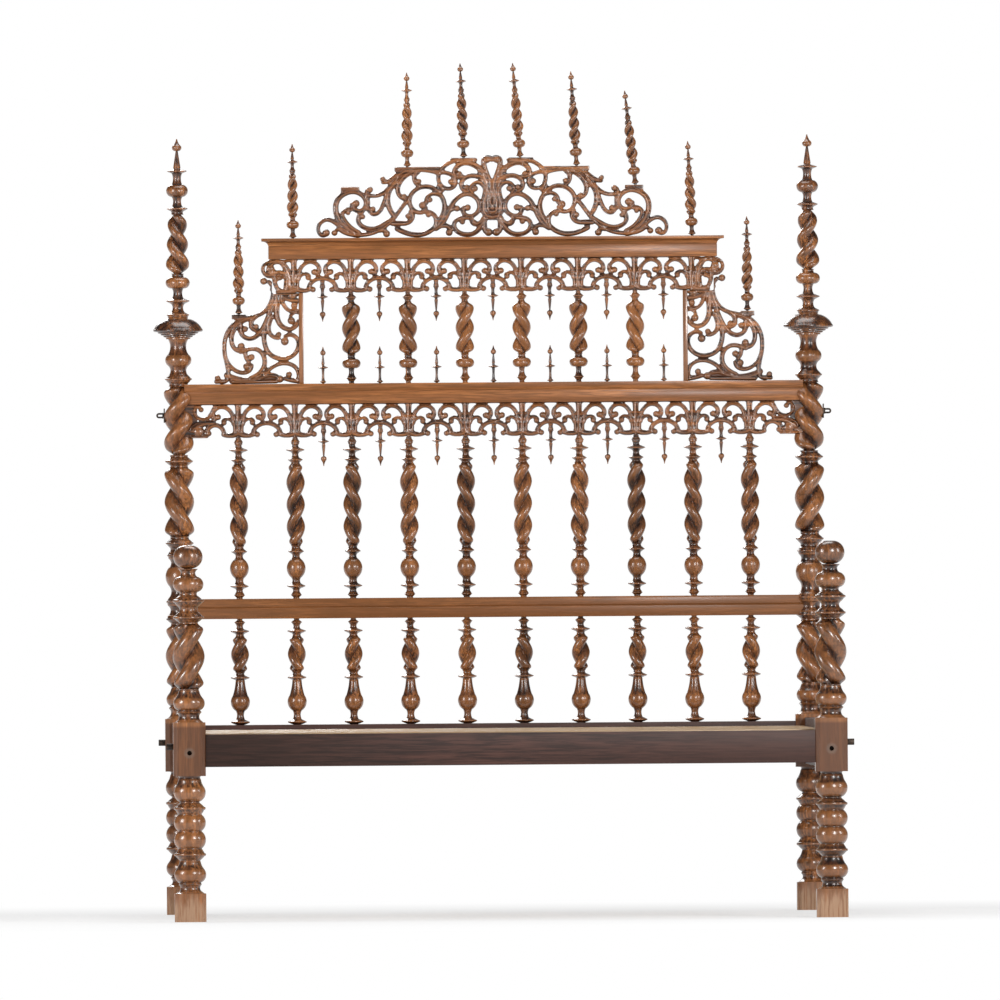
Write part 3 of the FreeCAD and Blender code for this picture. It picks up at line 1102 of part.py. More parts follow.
def make_finials():
    # the outermost pad on the left has lost its finial; the others lean a little to the left
    leans = ((1, -1, 0.0), (2, -1, 1.8), (2, 1, 4.2), (1, 1, 3.2), (0, 1, 6.2))
    crest_rows = []
    for pad_index, side, lean in leans:
        crest_rows.append((finial(lean, side),
                           "%d * %g * pattern_square" % (side, -CREST_FINIAL_PLACES[pad_index]),
                           "%s + %g * pattern_square" % (CORNICE_TOP, CREST_PADS[pad_index][3])))
    place_group("crest_finials", crest_rows)
    place_group("cornice_finials", [
        (finial(2.3 if side > 0 else 0.0, -side), "%d * cornice_finial_place" % side, CORNICE_TOP)
        for label, side in SIDES])
    place_group("wing_finials", [
        (finial(0.0, side), "%d * (stile_place + %g * pattern_square)" % (side, WING_PAD_PLACE),
         "%s + %g * pattern_square" % (MAIN_RAIL_TOP, WING_PADS[0][3])) for label, side in SIDES])
    small = fused([turned(rail_finial_stack(), 0, size("rail_finial_rise"), 1, 0.8),
                   pin(size("finial_pin_radius"), -size("finial_pin_length"), 2)])
    place_group("rail_finials", [(small, x, MAIN_RAIL_TOP) for x in rows(7)])
    hanging = fused([turned(pendant_stack(), 0, size("pendant_drop"), 1, 0.8),
                     pin(size("finial_pin_radius"), -size("finial_pin_length"), 2)])
    hanging.rotate(Vec(0, 0, 0), Vec(1, 0, 0), 180)
    arch_low = "- %g * pattern_square - 0.4" % ARCH_UNDERSIDE
    place_group("upper_pendants", [(hanging, x, "%s %s" % (FRIEZE_LOW, arch_low)) for x in rows(7)])
    # the first arch on the left has lost its pendant
    place_group("main_pendants", [(hanging, x, "main_rail_level %s" % arch_low) for x in rows(9)[1:]])


# ---------------------------------------------------------------- iron fastenings
def fastening(name, along, fixed, head_start, head_end, shank_end, head_radius):
    """A bolt of a head and a shank in line."""
    head = bored(name + "_head", along, head_radius, fixed, head_start, head_end)
    shank = bored(name + "_shank", along, "bolt_radius", fixed, head_end, shank_end)
    bolt = doc.addObject("Part::Fuse", name)
    bolt.Base, bolt.Tool = head, shank
    return bolt


def make_bolts():
    cross_bolts, cross_nuts, side_bolts, side_nuts = [], [], [], []
    for label, side in SIDES:
        x = "%d * bed_width / 2" % side
        for end, y, outward in ENDS:
            name = "%s_%s" % (end, label)
            face = "(%s + %d * %s)" % (x, side, BLOCK_FACE)
            shoulder = "(%s - %d * %s)" % (x, side, BLOCK_FACE)
            cross_bolts.append(fastening(
                "cross_bolt_" + name, "X", (y, CROSS_BOLT_LEVEL), "%s + %d * bolt_head_rise" % (face, side),
                face, "%s - %d * bolt_into_rail" % (shoulder, side), "bolt_head_radius"))
            cross_nuts.append(nut("cross_nut_" + name, "X", (
                around("(%s - %d * nut_inset)" % (shoulder, side), "nut_thick"), around(y, "nut_side"),
                around(CROSS_BOLT_LEVEL, "nut_side")), (y, CROSS_BOLT_LEVEL)))
            face = "(%s + %d * %s)" % (y, outward, BLOCK_FACE)
            shoulder = "(%s - %d * %s)" % (y, outward, BLOCK_FACE)
            sunk = "(%s - %d * sunk_head_depth)" % (face, outward)
            side_bolts.append(fastening(
                "side_bolt_" + name, "Y", (x, SIDE_BOLT_LEVEL), sunk,
                "%s - %d * sunk_head_rise" % (sunk, outward),
                "%s - %d * bolt_into_rail" % (shoulder, outward), "sunk_head_radius"))
            side_nuts.append(nut("side_nut_" + name, "Y", (
                around(x, "nut_side"), around("(%s - %d * nut_inset)" % (shoulder, outward), "nut_thick"),
                around(SIDE_BOLT_LEVEL, "nut_side")), (x, SIDE_BOLT_LEVEL)))
    finish("cross_rail_bolts", gather("cross_rail_bolts", cross_bolts))
    finish("side_rail_bolts", gather("side_rail_bolts", side_bolts))
    finish("bolt_nuts", gather("bolt_nuts", cross_nuts + side_nuts))


def nut(name, along, spans, fixed):
    """A square nut on its bolt."""
    blank = block(name + "_blank", spans)
    start, end = spans["XYZ".index(along)]
    return cut_away(name, blank, [bored(name + "_bore", along, SHAFT_HOLE, fixed,
                                        "%s - 1" % start, "%s + 1" % end)])


def ring_bolt_shape():
    """A bolt along +X from its collar: shank inwards, a bent eye outwards."""
    wire, ring, reach = size("ring_wire"), size("ring_radius"), size("ring_reach")
    along = Vec(1, 0, 0)
    shank_length = size("plate_seat") + size("plate_thick") + size("rail_end_to_axis")
    shank = Part.makeCylinder(size("ring_shank"), shank_length + size("ring_bolt_bite"),
                              Vec(-shank_length - size("ring_bolt_bite"), 0, 0), along)
    collar = Part.makeCylinder(ring + 0.7, 3, Vec(0.3, 0, 0), along)
    legs = [Part.makeCylinder(wire, reach, Vec(0.3, 0, up * (ring - wire)), along) for up in (1, -1)]
    bend = Part.makeTorus(ring - wire, wire, Vec(0.3 + reach, 0, 0), Vec(0, 1, 0))
    outer = bend.common(Part.makeBox(4 * ring, 4 * ring, 4 * ring, Vec(0.3 + reach, -2 * ring, -2 * ring)))
    neck_part = Part.makeCylinder(size("ring_shank"), 0.4, Vec(0, 0, 0), along)
    return fused([shank, neck_part, collar] + legs + [outer])


def make_ring_bolts():
    plates = []
    for label, side in SIDES:
        seat = "%d * (bed_width / 2 + plate_seat)" % side
        face = "%d * (bed_width / 2 + plate_seat + plate_thick)" % side
        blank = block("plate_blank_" + label, (
            span(seat, face), around(HEAD_Y, "plate_width"), around("ring_bolt_level", "plate_rise")))
        plates.append(cut_away("plate_" + label, blank, [bored(
            "plate_hole_" + label, "X", "ring_shank + bolt_gap", (HEAD_Y, "ring_bolt_level"),
            "%s - %d" % (seat, side), "%s + %d" % (face, side))]))
        shape = ring_bolt_shape()
        if side < 0:
            shape.rotate(Vec(0, 0, 0), Vec(0, 0, 1), 180)
        finish("ring_bolt_" + label, shaped("ring_bolt_" + label, shape, x=face, y=HEAD_Y, z="ring_bolt_level"))
    finish("bolt_plates", gather("bolt_plates", plates))


def write_pieces():
    """Checks the whole document, then writes one file a piece."""
    doc.recompute()
    failed = [thing.Label for thing in doc.Objects if "Invalid" in thing.State or "Error" in thing.State]
    if failed:
        raise RuntimeError("failed objects: " + ", ".join(failed))
    for piece in pieces:
        if piece.Shape.isNull() or not piece.Shape.isValid() or not piece.Shape.Solids:
            raise RuntimeError("bad shape: " + piece.Label)
    os.makedirs("parts", exist_ok=True)
    for piece in pieces:
        piece.Shape.exportStep(os.path.join("parts", piece.Label + ".step"))
        print("%-22s %3d solid(s) %10.0f mm3" % (piece.Label, len(piece.Shape.Solids), piece.Shape.Volume))


square = size("pattern_square")
make_posts()
make_end_rails()
make_headboard_rails()
make_cornice()
make_side_rails()
make_slats()
make_pierced_boards()
make_spindles()
make_finials()
make_bolts()
make_ring_bolts()
write_pieces()
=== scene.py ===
"""Spindle bed: the finished look of the bed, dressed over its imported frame."""

import math

import bpy
import numpy as np
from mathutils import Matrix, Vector


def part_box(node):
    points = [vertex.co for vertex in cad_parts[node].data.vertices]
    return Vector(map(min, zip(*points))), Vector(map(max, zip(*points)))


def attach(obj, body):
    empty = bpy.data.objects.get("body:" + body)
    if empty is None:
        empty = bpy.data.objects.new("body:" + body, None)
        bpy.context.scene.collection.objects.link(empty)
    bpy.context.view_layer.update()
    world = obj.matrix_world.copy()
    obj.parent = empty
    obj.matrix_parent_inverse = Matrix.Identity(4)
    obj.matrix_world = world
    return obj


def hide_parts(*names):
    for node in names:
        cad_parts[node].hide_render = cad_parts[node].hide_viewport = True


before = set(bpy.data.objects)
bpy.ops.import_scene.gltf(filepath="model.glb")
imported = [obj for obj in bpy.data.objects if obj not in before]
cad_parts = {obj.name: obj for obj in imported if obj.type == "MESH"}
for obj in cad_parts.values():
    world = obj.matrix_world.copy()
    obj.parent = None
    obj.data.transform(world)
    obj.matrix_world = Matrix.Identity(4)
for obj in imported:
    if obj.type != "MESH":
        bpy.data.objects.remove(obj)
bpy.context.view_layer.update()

bl_info = {
    "name": "Spindle Bed",
    "version": (1, 0, 0),
    "blender": (4, 5, 0),
    "location": "View3D > Sidebar > Bed",
    "description": "Dresses a twist-turned spindle bed in carved and polished wood",
    "category": "Object",
}

BEDSTEAD = "bedstead"
SIDES = ("left", "right")

# How dark each turning is, from its light heartwood at 0 to nearly black wood at 1, left to right.
LOWER_TONES = (0.62, 0.34, 0.5, 0.46, 0.3, 0.8, 0.36, 0.58, 0.26, 0.34)
MIDDLE_TONES = (0.42, 0.6, 0.82, 0.34, 0.74, 0.3, 0.38, 0.9, 0.4, 0.5)
UPPER_TONES = (0.78, 0.6, 0.28, 0.24, 0.42, 0.2)
CREST_FINIAL_TONES = (0.4, 0.45, 0.5, 0.62, 0.66)
SMALL_TONES = (0.6, 0.55, 0.5, 0.42, 0.5, 0.34, 0.3)

# The carver's strands, in squares of the pattern. Each is the points of its middle line, its half widths
# at both ends, and the place and radius of the ball that ends it, if there is one. Frets count from the
# middle of a stem and down from the edge that they hang from.
SQUARE = 0.001056
STEM_PITCH = 0.136
FRET_HALF = (
    (((0, -1), (0, -30), (0, -75)), (7.5, 4), None),
    (((7, -64), (8, -46), (12, -28), (22, -12), (37, -6), (51, -11), (58, -23), (53, -34)),
     (5, 5), (46, -29, 7)),
    (((11, -45), (18, -35), (27, -33), (35, -39)), (4.5, 4), (32, -42, 6)),
    (((2, -66), (16, -71), (34, -69)), (7, 5), None),
)
FRET_ARCH = (
    (((33, -67), (38, -55), (50, -46), (65, -43)), (5, 5.5), (43, -69, 6.5)),
)
WALL_END = (
    (((33, -67), (37, -55), (47, -48), (58, -48), (68, -55), (72, -66)), (5, 6), (67, -66, 6.5)),
    (((52, -6), (58, -16), (66, -28), (80, -34), (93, -29), (99, -17), (95, -7), (87, -6)),
     (5, 3.5), (84, -12, 6)),
    (((58, -42), (76, -43), (92, -48), (104, -56)), (6, 9), (90, -62, 13)),
    (((72, -72), (86, -74), (106, -74)), (5, 5), None),
)
CURL_END = (
    (((6, -3), (37, -3), (57, -5), (69, -15), (70, -27), (62, -36), (46, -36)), (3, 5), (53, -21, 9)),
    (((32, -5), (22, -18), (15, -38), (13, -60)), (5, 5), None),
    (((46, -34), (34, -29), (22, -34), (18, -50), (20, -70)), (5, 5), None),
    (((45, -36), (44, -50), (38, -66)), (5, 5), (38, -46, 4)),
    (((0, -73), (18, -74), (37, -74)), (6, 5), None),
)
# Half of the crest, from the middle line outwards to the left, above the cornice.
CREST_HALF = (
    (((-378, 7), (-389, 7), (-395, 20), (-390, 34), (-375, 42), (-358, 36),
     (-344, 25), (-326, 12), (-304, 6)), (4, 6), (-377, 12, 8.5)),
    (((-330, 14), (-344, 20), (-354, 18)), (5, 4), (-358, 12, 7)),
    (((-316, 10), (-338, 27), (-351, 47), (-355, 67), (-350, 87), (-335, 100),
     (-315, 105), (-296, 98), (-286, 82), (-290, 67), (-302, 61), (-314, 66), (-318, 76)), (7, 5),
     (-309, 78, 8.5)),
    (((-304, 12), (-323, 25), (-336, 42), (-340, 55), (-334, 63), (-319, 64)),
     (6, 4), (-327, 57, 5.5)),
    (((-349, 22), (-326, 9), (-294, 7), (-266, 13), (-242, 27), (-222, 46), (-207, 66),
     (-192, 84)), (5, 5), None),
    (((-226, 42), (-251, 27), (-274, 20), (-293, 25), (-304, 38), (-302, 50),
     (-294, 60)), (6, 5), (-294, 48, 6)),
    (((-256, 17), (-244, 18)), (6, 5), (-240, 9, 8)),
    (((-283, 108), (-284, 99), (-272, 95), (-256, 97), (-242, 105), (-230, 118),
     (-216, 136)), (4, 6), (-277, 109, 7)),
    (((-285, 94), (-282, 82), (-285, 68)), (5, 6), None),
    (((-247, 126), (-236, 128), (-220, 139), (-199, 151), (-174, 154), (-149, 153),
     (-120, 146)), (5, 6), (-248, 133, 6)),
    (((-236, 108), (-242, 89), (-249, 71), (-260, 56), (-272, 54), (-280, 63),
     (-287, 66)), (5, 5), (-271, 65, 6.5)),
    (((-216, 124), (-232, 108), (-237, 88), (-233, 66), (-221, 48)), (6, 6), None),
    (((-176, 149), (-196, 140), (-210, 123), (-214, 106), (-209, 94), (-197, 88)),
     (6, 5), (-200, 93, 6.5)),
    (((-216, 20), (-194, 10), (-169, 6), (-144, 13), (-125, 30), (-112, 52),
     (-108, 72), (-117, 96), (-135, 112), (-156, 115), (-175, 107), (-187, 89), (-185, 71),
     (-174, 59), (-159, 57), (-151, 67)), (6, 5), (-158, 73, 8.5)),
    (((-116, 95), (-126, 98), (-138, 98), (-147, 91), (-149, 78)), (5, 4.5), (-141, 85, 6)),
    (((-152, 58), (-140, 56), (-129, 46), (-127, 34), (-128, 24)), (5, 6), (-145, 51, 6)),
    (((-226, 32), (-204, 32), (-189, 35), (-181, 45), (-185, 59)), (6, 5), (-191, 49, 6.5)),
    (((-169, 148), (-176, 138), (-175, 127), (-165, 117)), (6, 4.5), (-166, 127, 6)),
    (((-38, 175), (-64, 175), (-88, 172), (-108, 161), (-120, 144), (-121, 128),
     (-113, 115), (-100, 110), (-88, 114), (-83, 126)), (5, 5), (-93, 126, 7)),
    (((-83, 124), (-88, 138), (-100, 145), (-116, 147)), (5, 5), None),
    (((-114, 108), (-120, 116)), (7, 6), None),
    (((-18, 146), (-30, 157), (-46, 166), (-64, 168), (-79, 160), (-85, 149),
     (-81, 139), (-68, 138)), (7, 5), (-74, 144, 6)),
    (((-44, 172), (-76, 171)), (6, 4), None),
    (((-12, 124), (-24, 134), (-42, 139), (-58, 136), (-69, 124), (-68, 111),
     (-58, 105)), (6, 5), (-58, 113, 6.5)),
    (((-14, 100), (-20, 116), (-33, 124), (-45, 119), (-49, 109), (-44, 103)),
     (5, 4), (-39, 110, 7)),
    (((-128, 20), (-110, 37), (-99, 58), (-88, 79), (-73, 93), (-56, 98), (-40, 92),
     (-30, 77), (-31, 61), (-42, 50), (-56, 48), (-66, 57), (-65, 67)), (6, 5), (-56, 67, 7.5)),
    (((-96, 62), (-86, 65)), (6, 5), (-80, 65, 7)),
    (((-122, 24), (-104, 26), (-92, 18)), (6, 5), (-98, 11, 8)),
    (((-16, 40), (-26, 24), (-42, 9), (-61, 6), (-78, 12), (-87, 26), (-82, 38),
     (-70, 43), (-56, 44)), (6, 5), (-68, 35, 6.5)),
    (((-20, 42), (-30, 31), (-39, 29), (-46, 44)), (6, 5), (-41, 33, 6.5)),
    (((0, 43), (-12, 46), (-20, 58), (-21, 74), (-16, 95), (-14, 112), (-22, 140),
     (-26, 152)), (5, 8), None),
    (((0, 55), (-9, 58), (-12, 75), (-8, 98), (-4, 118), (-8, 134), (-15, 152),
     (-19, 168)), (5, 6), (-11, 176, 8.5)),
    (((-19, 168), (-16, 178), (0, 176)), (6, 6), None),
    (((0, 66), (-6, 80), (-2, 100), (0, 128)), (5, 5), None),
    (((-16, 44), (-18, 28), (-16, 14)), (6, 6), (-9, 11, 9)),
)
# The wing, from the middle line of its stile outwards to the left, above the main rail.
WING_PATTERN = (
    (((-182, 5), (-169, 10), (-166, 30), (-172, 60), (-174, 90), (-167, 117),
     (-152, 136), (-132, 147), (-107, 153), (-87, 161), (-73, 175), (-64, 198), (-63, 216),
     (-72, 231)), (5, 5), (-84, 233, 8)),
    (((-193, 6), (-177, 7)), (5, 5), (-190, 14, 6.5)),
    (((-113, 149), (-134, 142), (-149, 128), (-157, 110), (-157, 93), (-150, 80),
     (-137, 75)), (6, 5), (-136, 86, 8)),
    (((-103, 153), (-112, 142), (-113, 130), (-103, 122)), (6, 4.5), (-102, 130, 6.5)),
    (((-75, 150), (-87, 125), (-101, 109), (-117, 103), (-130, 108), (-138, 120),
     (-137, 134)), (6, 5), (-127, 125, 7)),
    (((-57, 206), (-65, 180), (-73, 155), (-81, 130), (-84, 105), (-80, 82),
     (-69, 66), (-52, 58), (-32, 58), (-15, 68), (-6, 85), (-9, 102), (-22, 111), (-35, 108)),
     (6, 5), (-37, 96, 9)),
    (((-53, 204), (-54, 180), (-55, 160), (-51, 141), (-40, 128), (-26, 124),
     (-13, 130), (-5, 143)), (7, 5), (-22, 143, 8.5)),
    (((-24, 152), (-13, 162), (-1, 158)), (4, 4), None),
    (((-67, 152), (-73, 133), (-72, 117), (-63, 107), (-51, 104)), (6, 4.5), (-51, 112, 6.5)),
    (((-45, 206), (-42, 188), (-34, 172), (-21, 164), (-1, 168)), (5, 4.5), (-15, 177, 7.5)),
    (((-43, 200), (-27, 192), (-1, 188)), (6, 6), (-19, 200, 10)),
    (((-83, 22), (-66, 38), (-46, 46), (-27, 45), (-12, 36), (-6, 20), (-7, 5)),
     (5, 5), (-28, 21, 7)),
    (((-37, 12), (-21, 8), (-3, 6)), (5, 6), None),
    (((-169, 20), (-147, 12), (-122, 9), (-97, 14), (-75, 20), (-57, 18)), (7, 5),
     (-49, 11, 8.5)),
    (((-157, 6), (-97, 6), (-57, 6)), (6, 5), None),
    (((-173, 66), (-165, 46), (-151, 32), (-135, 26), (-120, 29), (-113, 42)),
     (5, 5), (-124, 40, 8)),
    (((-137, 73), (-119, 79), (-102, 79), (-89, 70), (-83, 54), (-85, 38),
     (-96, 24), (-113, 14)), (5, 6), None),
    (((-125, 77), (-126, 62), (-119, 50)), (5, 4.5), (-113, 61, 7.5)),
    (((-63, 214), (-47, 212), (-1, 212)), (7, 6), None),
    (((-59, 206), (-37, 206), (-1, 204)), (6, 6), None),
)
# Flat pads for the finials: low corner and high corner.
CREST_PADS = ((-343, 104, -301, 116), (-221, 150, -116, 160), (-94, 172, -38, 180))
WING_PADS = ((-157, 147, -125, 158),)


# ---------------------------------------------------------------- selection and mesh work

def select_only(obj):
    """Makes one object the only selected and the active one."""
    bpy.ops.object.select_all(action="DESELECT")
    obj.select_set(True)
    bpy.context.view_layer.objects.active = obj


def bench_copy(node, name):
    """A merged copy of a node of the frame, ready to be worked on."""
    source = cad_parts[node]
    copy = bpy.data.objects.new(name, source.data.copy())
    copy.data.name = name
    bpy.context.scene.collection.objects.link(copy)
    copy.data.materials.clear()
    select_only(copy)
    if copy.data.has_custom_normals:
        bpy.ops.mesh.customdata_custom_splitnormals_clear()
    bpy.ops.object.mode_set(mode="EDIT")
    bpy.ops.mesh.select_all(action="SELECT")
    bpy.ops.mesh.remove_doubles(threshold=0.000002)
    bpy.ops.object.mode_set(mode="OBJECT")
    return copy


def apply_all(obj):
    select_only(obj)
    for modifier in list(obj.modifiers):
        bpy.ops.object.modifier_apply(modifier=modifier.name)


def thin_out(obj, triangles):
    """Fewer triangles, for a piece whose frame mesh is finer than the eye needs."""
    now = sum(len(p.vertices) - 2 for p in obj.data.polygons)
    if now <= triangles:
        return obj
    thinner = obj.modifiers.new("Fewer faces", "DECIMATE")
    thinner.ratio = triangles / now
    apply_all(obj)
    return obj


def points_of(obj):
    """The places of a mesh's points, one row each."""
    points = np.empty(len(obj.data.vertices) * 3, np.float32)
    obj.data.vertices.foreach_get("co", points)
    return points.reshape(-1, 3).astype(float)


def directions_of(obj):
    """The outward direction at each point of a mesh."""
    directions = np.empty(len(obj.data.vertices) * 3, np.float32)
    obj.data.vertices.foreach_get("normal", directions)
    return directions.reshape(-1, 3).astype(float)


def put_points(obj, points):
    obj.data.vertices.foreach_set("co", points.astype(np.float32).ravel())
    obj.data.update()


def put_attribute(obj, name, values):
    attribute = obj.data.attributes.get(name) or obj.data.attributes.new(name, "FLOAT", "POINT")
    attribute.data.foreach_set("value", np.asarray(values, np.float32))


# The wood paints shade in the grooves and a highlight on the ridges by this attribute.
def mark_hollows(obj, depth, rounds=10):
    """Writes the attribute hollow: 0.5 on an even face, 1 deep in a groove, 0 on a ridge."""
    points, directions = points_of(obj), directions_of(obj)
    edges = np.empty(len(obj.data.edges) * 2, np.int32)
    obj.data.edges.foreach_get("vertices", edges)
    edges = edges.reshape(-1, 2)
    count = len(points)
    both = np.concatenate([edges, edges[:, ::-1]])
    degree = np.maximum(np.bincount(both[:, 0], minlength=count), 1)
    smooth = points.copy()
    for _ in range(rounds):
        around = [np.bincount(both[:, 0], smooth[both[:, 1], axis], count) / degree for axis in range(3)]
        smooth = 0.4 * smooth + 0.6 * np.stack(around, 1)
    inward = ((smooth - points) * directions).sum(1)
    put_attribute(obj, "hollow", np.clip(0.5 + inward / (2 * depth), 0, 1))


def shade(obj, angle=40):
    select_only(obj)
    bpy.ops.object.shade_smooth_by_angle(angle=math.radians(angle))


def finish_piece(obj, material, tone, nodes, body=BEDSTEAD, depth=0.0015):
    """Gives a piece its shading, wood and place on its body, and hides the nodes that it stands for."""
    shade(obj)
    if depth:
        mark_hollows(obj, depth)
    if np.isscalar(tone):
        tone = np.full(len(obj.data.vertices), tone)
    put_attribute(obj, "tone", tone)
    obj.data.materials.clear()
    obj.data.materials.append(material)
    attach(obj, body)
    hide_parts(*nodes)
    return obj


# ---------------------------------------------------------------- materials

class Nodes:
    """A short way to lay out a node tree, which is emptied first."""

    def __init__(self, tree):
        self.tree = tree
        tree.nodes.clear()

    def add(self, kind, **settings):
        made = self.tree.nodes.new(kind)
        for key, value in settings.items():
            setattr(made, key, value)
        return made

    def feed(self, socket, value):
        if isinstance(value, bpy.types.NodeSocket):
            self.tree.links.new(value, socket)
        else:
            socket.default_value = value

    def math(self, operation, first, second=0.0):
        made = self.add("ShaderNodeMath", operation=operation)
        self.feed(made.inputs[0], first)
        self.feed(made.inputs[1], second)
        return made.outputs[0]

    def vector(self, operation, first, second):
        made = self.add("ShaderNodeVectorMath", operation=operation)
        self.feed(made.inputs[0], first)
        self.feed(made.inputs[1], second)
        return made.outputs["Value" if operation in ("LENGTH", "DOT_PRODUCT") else "Vector"]

    def scaled(self, vector, share):
        made = self.add("ShaderNodeVectorMath", operation="SCALE")
        self.feed(made.inputs[0], vector)
        self.feed(made.inputs["Scale"], share)
        return made.outputs["Vector"]

    def mix(self, share, first, second, blend="MIX"):
        made = self.add("ShaderNodeMix", data_type="RGBA", blend_type=blend, clamp_factor=True)
        self.feed(made.inputs[0], share)
        self.feed(made.inputs[6], first)
        self.feed(made.inputs[7], second)
        return made.outputs[2]

    def attribute(self, name):
        return self.add("ShaderNodeAttribute", attribute_name=name).outputs["Fac"]

    def place(self):
        return self.add("ShaderNodeTexCoord").outputs["Object"]

    def noise(self, where, scale, detail=3.0, roughness=0.55, distortion=0.0):
        made = self.add("ShaderNodeTexNoise")
        self.feed(made.inputs["Vector"], where)
        self.feed(made.inputs["Scale"], scale)
        self.feed(made.inputs["Detail"], detail)
        self.feed(made.inputs["Roughness"], roughness)
        self.feed(made.inputs["Distortion"], distortion)
        return made.outputs["Fac"]

    def ramp(self, value, *stops):
        made = self.add("ShaderNodeValToRGB")
        band = made.color_ramp
        while len(band.elements) < len(stops):
            band.elements.new(0.5)
        for element, (position, colour) in zip(band.elements, stops):
            element.position = position
            element.color = (*colour[:3], 1.0) if hasattr(colour, "__len__") else (colour,) * 3 + (1.0,)
        self.feed(made.inputs[0], value)
        return made.outputs[0]

    def range(self, value, low, high, start=0.0, end=1.0):
        made = self.add("ShaderNodeMapRange", clamp=True, interpolation_type="SMOOTHSTEP")
        for socket, number in zip(made.inputs, (value, low, high, start, end)):
            self.feed(socket, number)
        return made.outputs[0]

    def bump(self, shader, strength, distance, height):
        made = self.add("ShaderNodeBump")
        made.inputs["Strength"].default_value = strength
        made.inputs["Distance"].default_value = distance
        self.feed(made.inputs["Height"], height)
        self.feed(shader.inputs["Normal"], made.outputs[0])


def fresh_material(name):
    material = bpy.data.materials.new(name)
    material.use_nodes = True
    nodes = Nodes(material.node_tree)
    shader = nodes.add("ShaderNodeBsdfPrincipled")
    output = nodes.add("ShaderNodeOutputMaterial")
    nodes.feed(output.inputs[0], shader.outputs[0])
    return material, nodes, shader


GRAIN_SCALES = {"X": (1.8, 34.0, 34.0), "Y": (34.0, 1.8, 34.0), "Z": (34.0, 34.0, 1.8)}


def rosewood(name, grain, light, middle, dark, gloss, worn_feet_and_shaded_blocks=False, streaks=1.0, coat=0.65,
             shine=0.5, feature=1.0):
    """Polished rosewood: long dark streaks and fine pores along the grain, painted shade with some grime in
    the hollows, and a painted highlight on the ridges.
    """
    material, nodes, shader = fresh_material(name)
    place = nodes.place()
    tone = nodes.attribute("tone")
    hollow = nodes.attribute("hollow")
    own_place = nodes.vector("ADD", place, nodes.scaled((37.0, 53.0, 11.0), tone))
    along = nodes.vector("MULTIPLY", own_place, [feature * share for share in GRAIN_SCALES[grain]])
    figure = nodes.noise(along, 1.0, 3.0, 0.55, 0.6)
    bands = nodes.noise(along, 5.5, 4.0, 0.62, 0.3)
    pores = nodes.noise(nodes.vector("MULTIPLY", along, (6.0, 6.0, 6.0)), 1.6, 2.0, 0.5)
    body = nodes.ramp(figure, (0.3, dark), (0.47, middle), (0.7, light))
    lines = nodes.ramp(bands, (0.41, 0.12), (0.48, 0.62), (0.53, 1.05), (0.62, 1.5))
    wood = nodes.mix(0.9 * streaks, body, lines, "MULTIPLY")
    fleck = nodes.ramp(pores, (0.34, 0.5), (0.44, 1.0))
    wood = nodes.mix(0.4 * streaks, wood, fleck, "MULTIPLY")
    deep = nodes.range(tone, 0.35, 1.0)
    wood = nodes.mix(nodes.math("MULTIPLY", deep, 0.86), wood, nodes.mix(0.8, wood, dark, "MULTIPLY"))
    pale = nodes.range(tone, 0.45, 0.1)
    wood = nodes.mix(nodes.math("MULTIPLY", pale, 0.6), wood, nodes.mix(0.6, wood, light))
    # Painted shade, with some grime: hollows and grooves are darkened nearly to black, where shade falls,
    # and made rougher.
    painted_shade_and_grime = nodes.range(hollow, 0.56, 1.0)
    wood = nodes.mix(nodes.math("MULTIPLY", painted_shade_and_grime, 0.66), wood, (0.016, 0.007, 0.004, 1.0))
    # Painted highlight: the ridges are lightened towards the light wood.
    ridge_highlight = nodes.range(hollow, 0.42, 0.08)
    wood = nodes.mix(nodes.math("MULTIPLY", ridge_highlight, 0.42), wood, light)
    rough = nodes.math("ADD", nodes.math("MULTIPLY", pores, 0.16), gloss)
    rough = nodes.math("ADD", rough, nodes.math("MULTIPLY", painted_shade_and_grime, 0.3))
    if worn_feet_and_shaded_blocks:
        wood, rough = wear_feet_and_shade_blocks(nodes, place, wood, rough)
    nodes.feed(shader.inputs["Base Color"], wood)
    nodes.feed(shader.inputs["Roughness"], rough)
    shader.inputs["Specular IOR Level"].default_value = shine
    shader.inputs["Coat Weight"].default_value = coat
    shader.inputs["Coat Roughness"].default_value = 0.2
    nodes.bump(shader, 0.35, 0.0004, nodes.math("ADD", pores, nodes.math("MULTIPLY", bands, 0.7)))
    return material


POST_X = 0.7545             # from the bed's middle to the middle of a post
BOLT_HOLE_LEVEL = 0.397     # the middle of a post's square block, where the side rail's bolt goes in
BLOCK_HALF_HEIGHT = 0.062
FOOT_FRONT = -1.04          # the front blocks' faces lie ahead of this


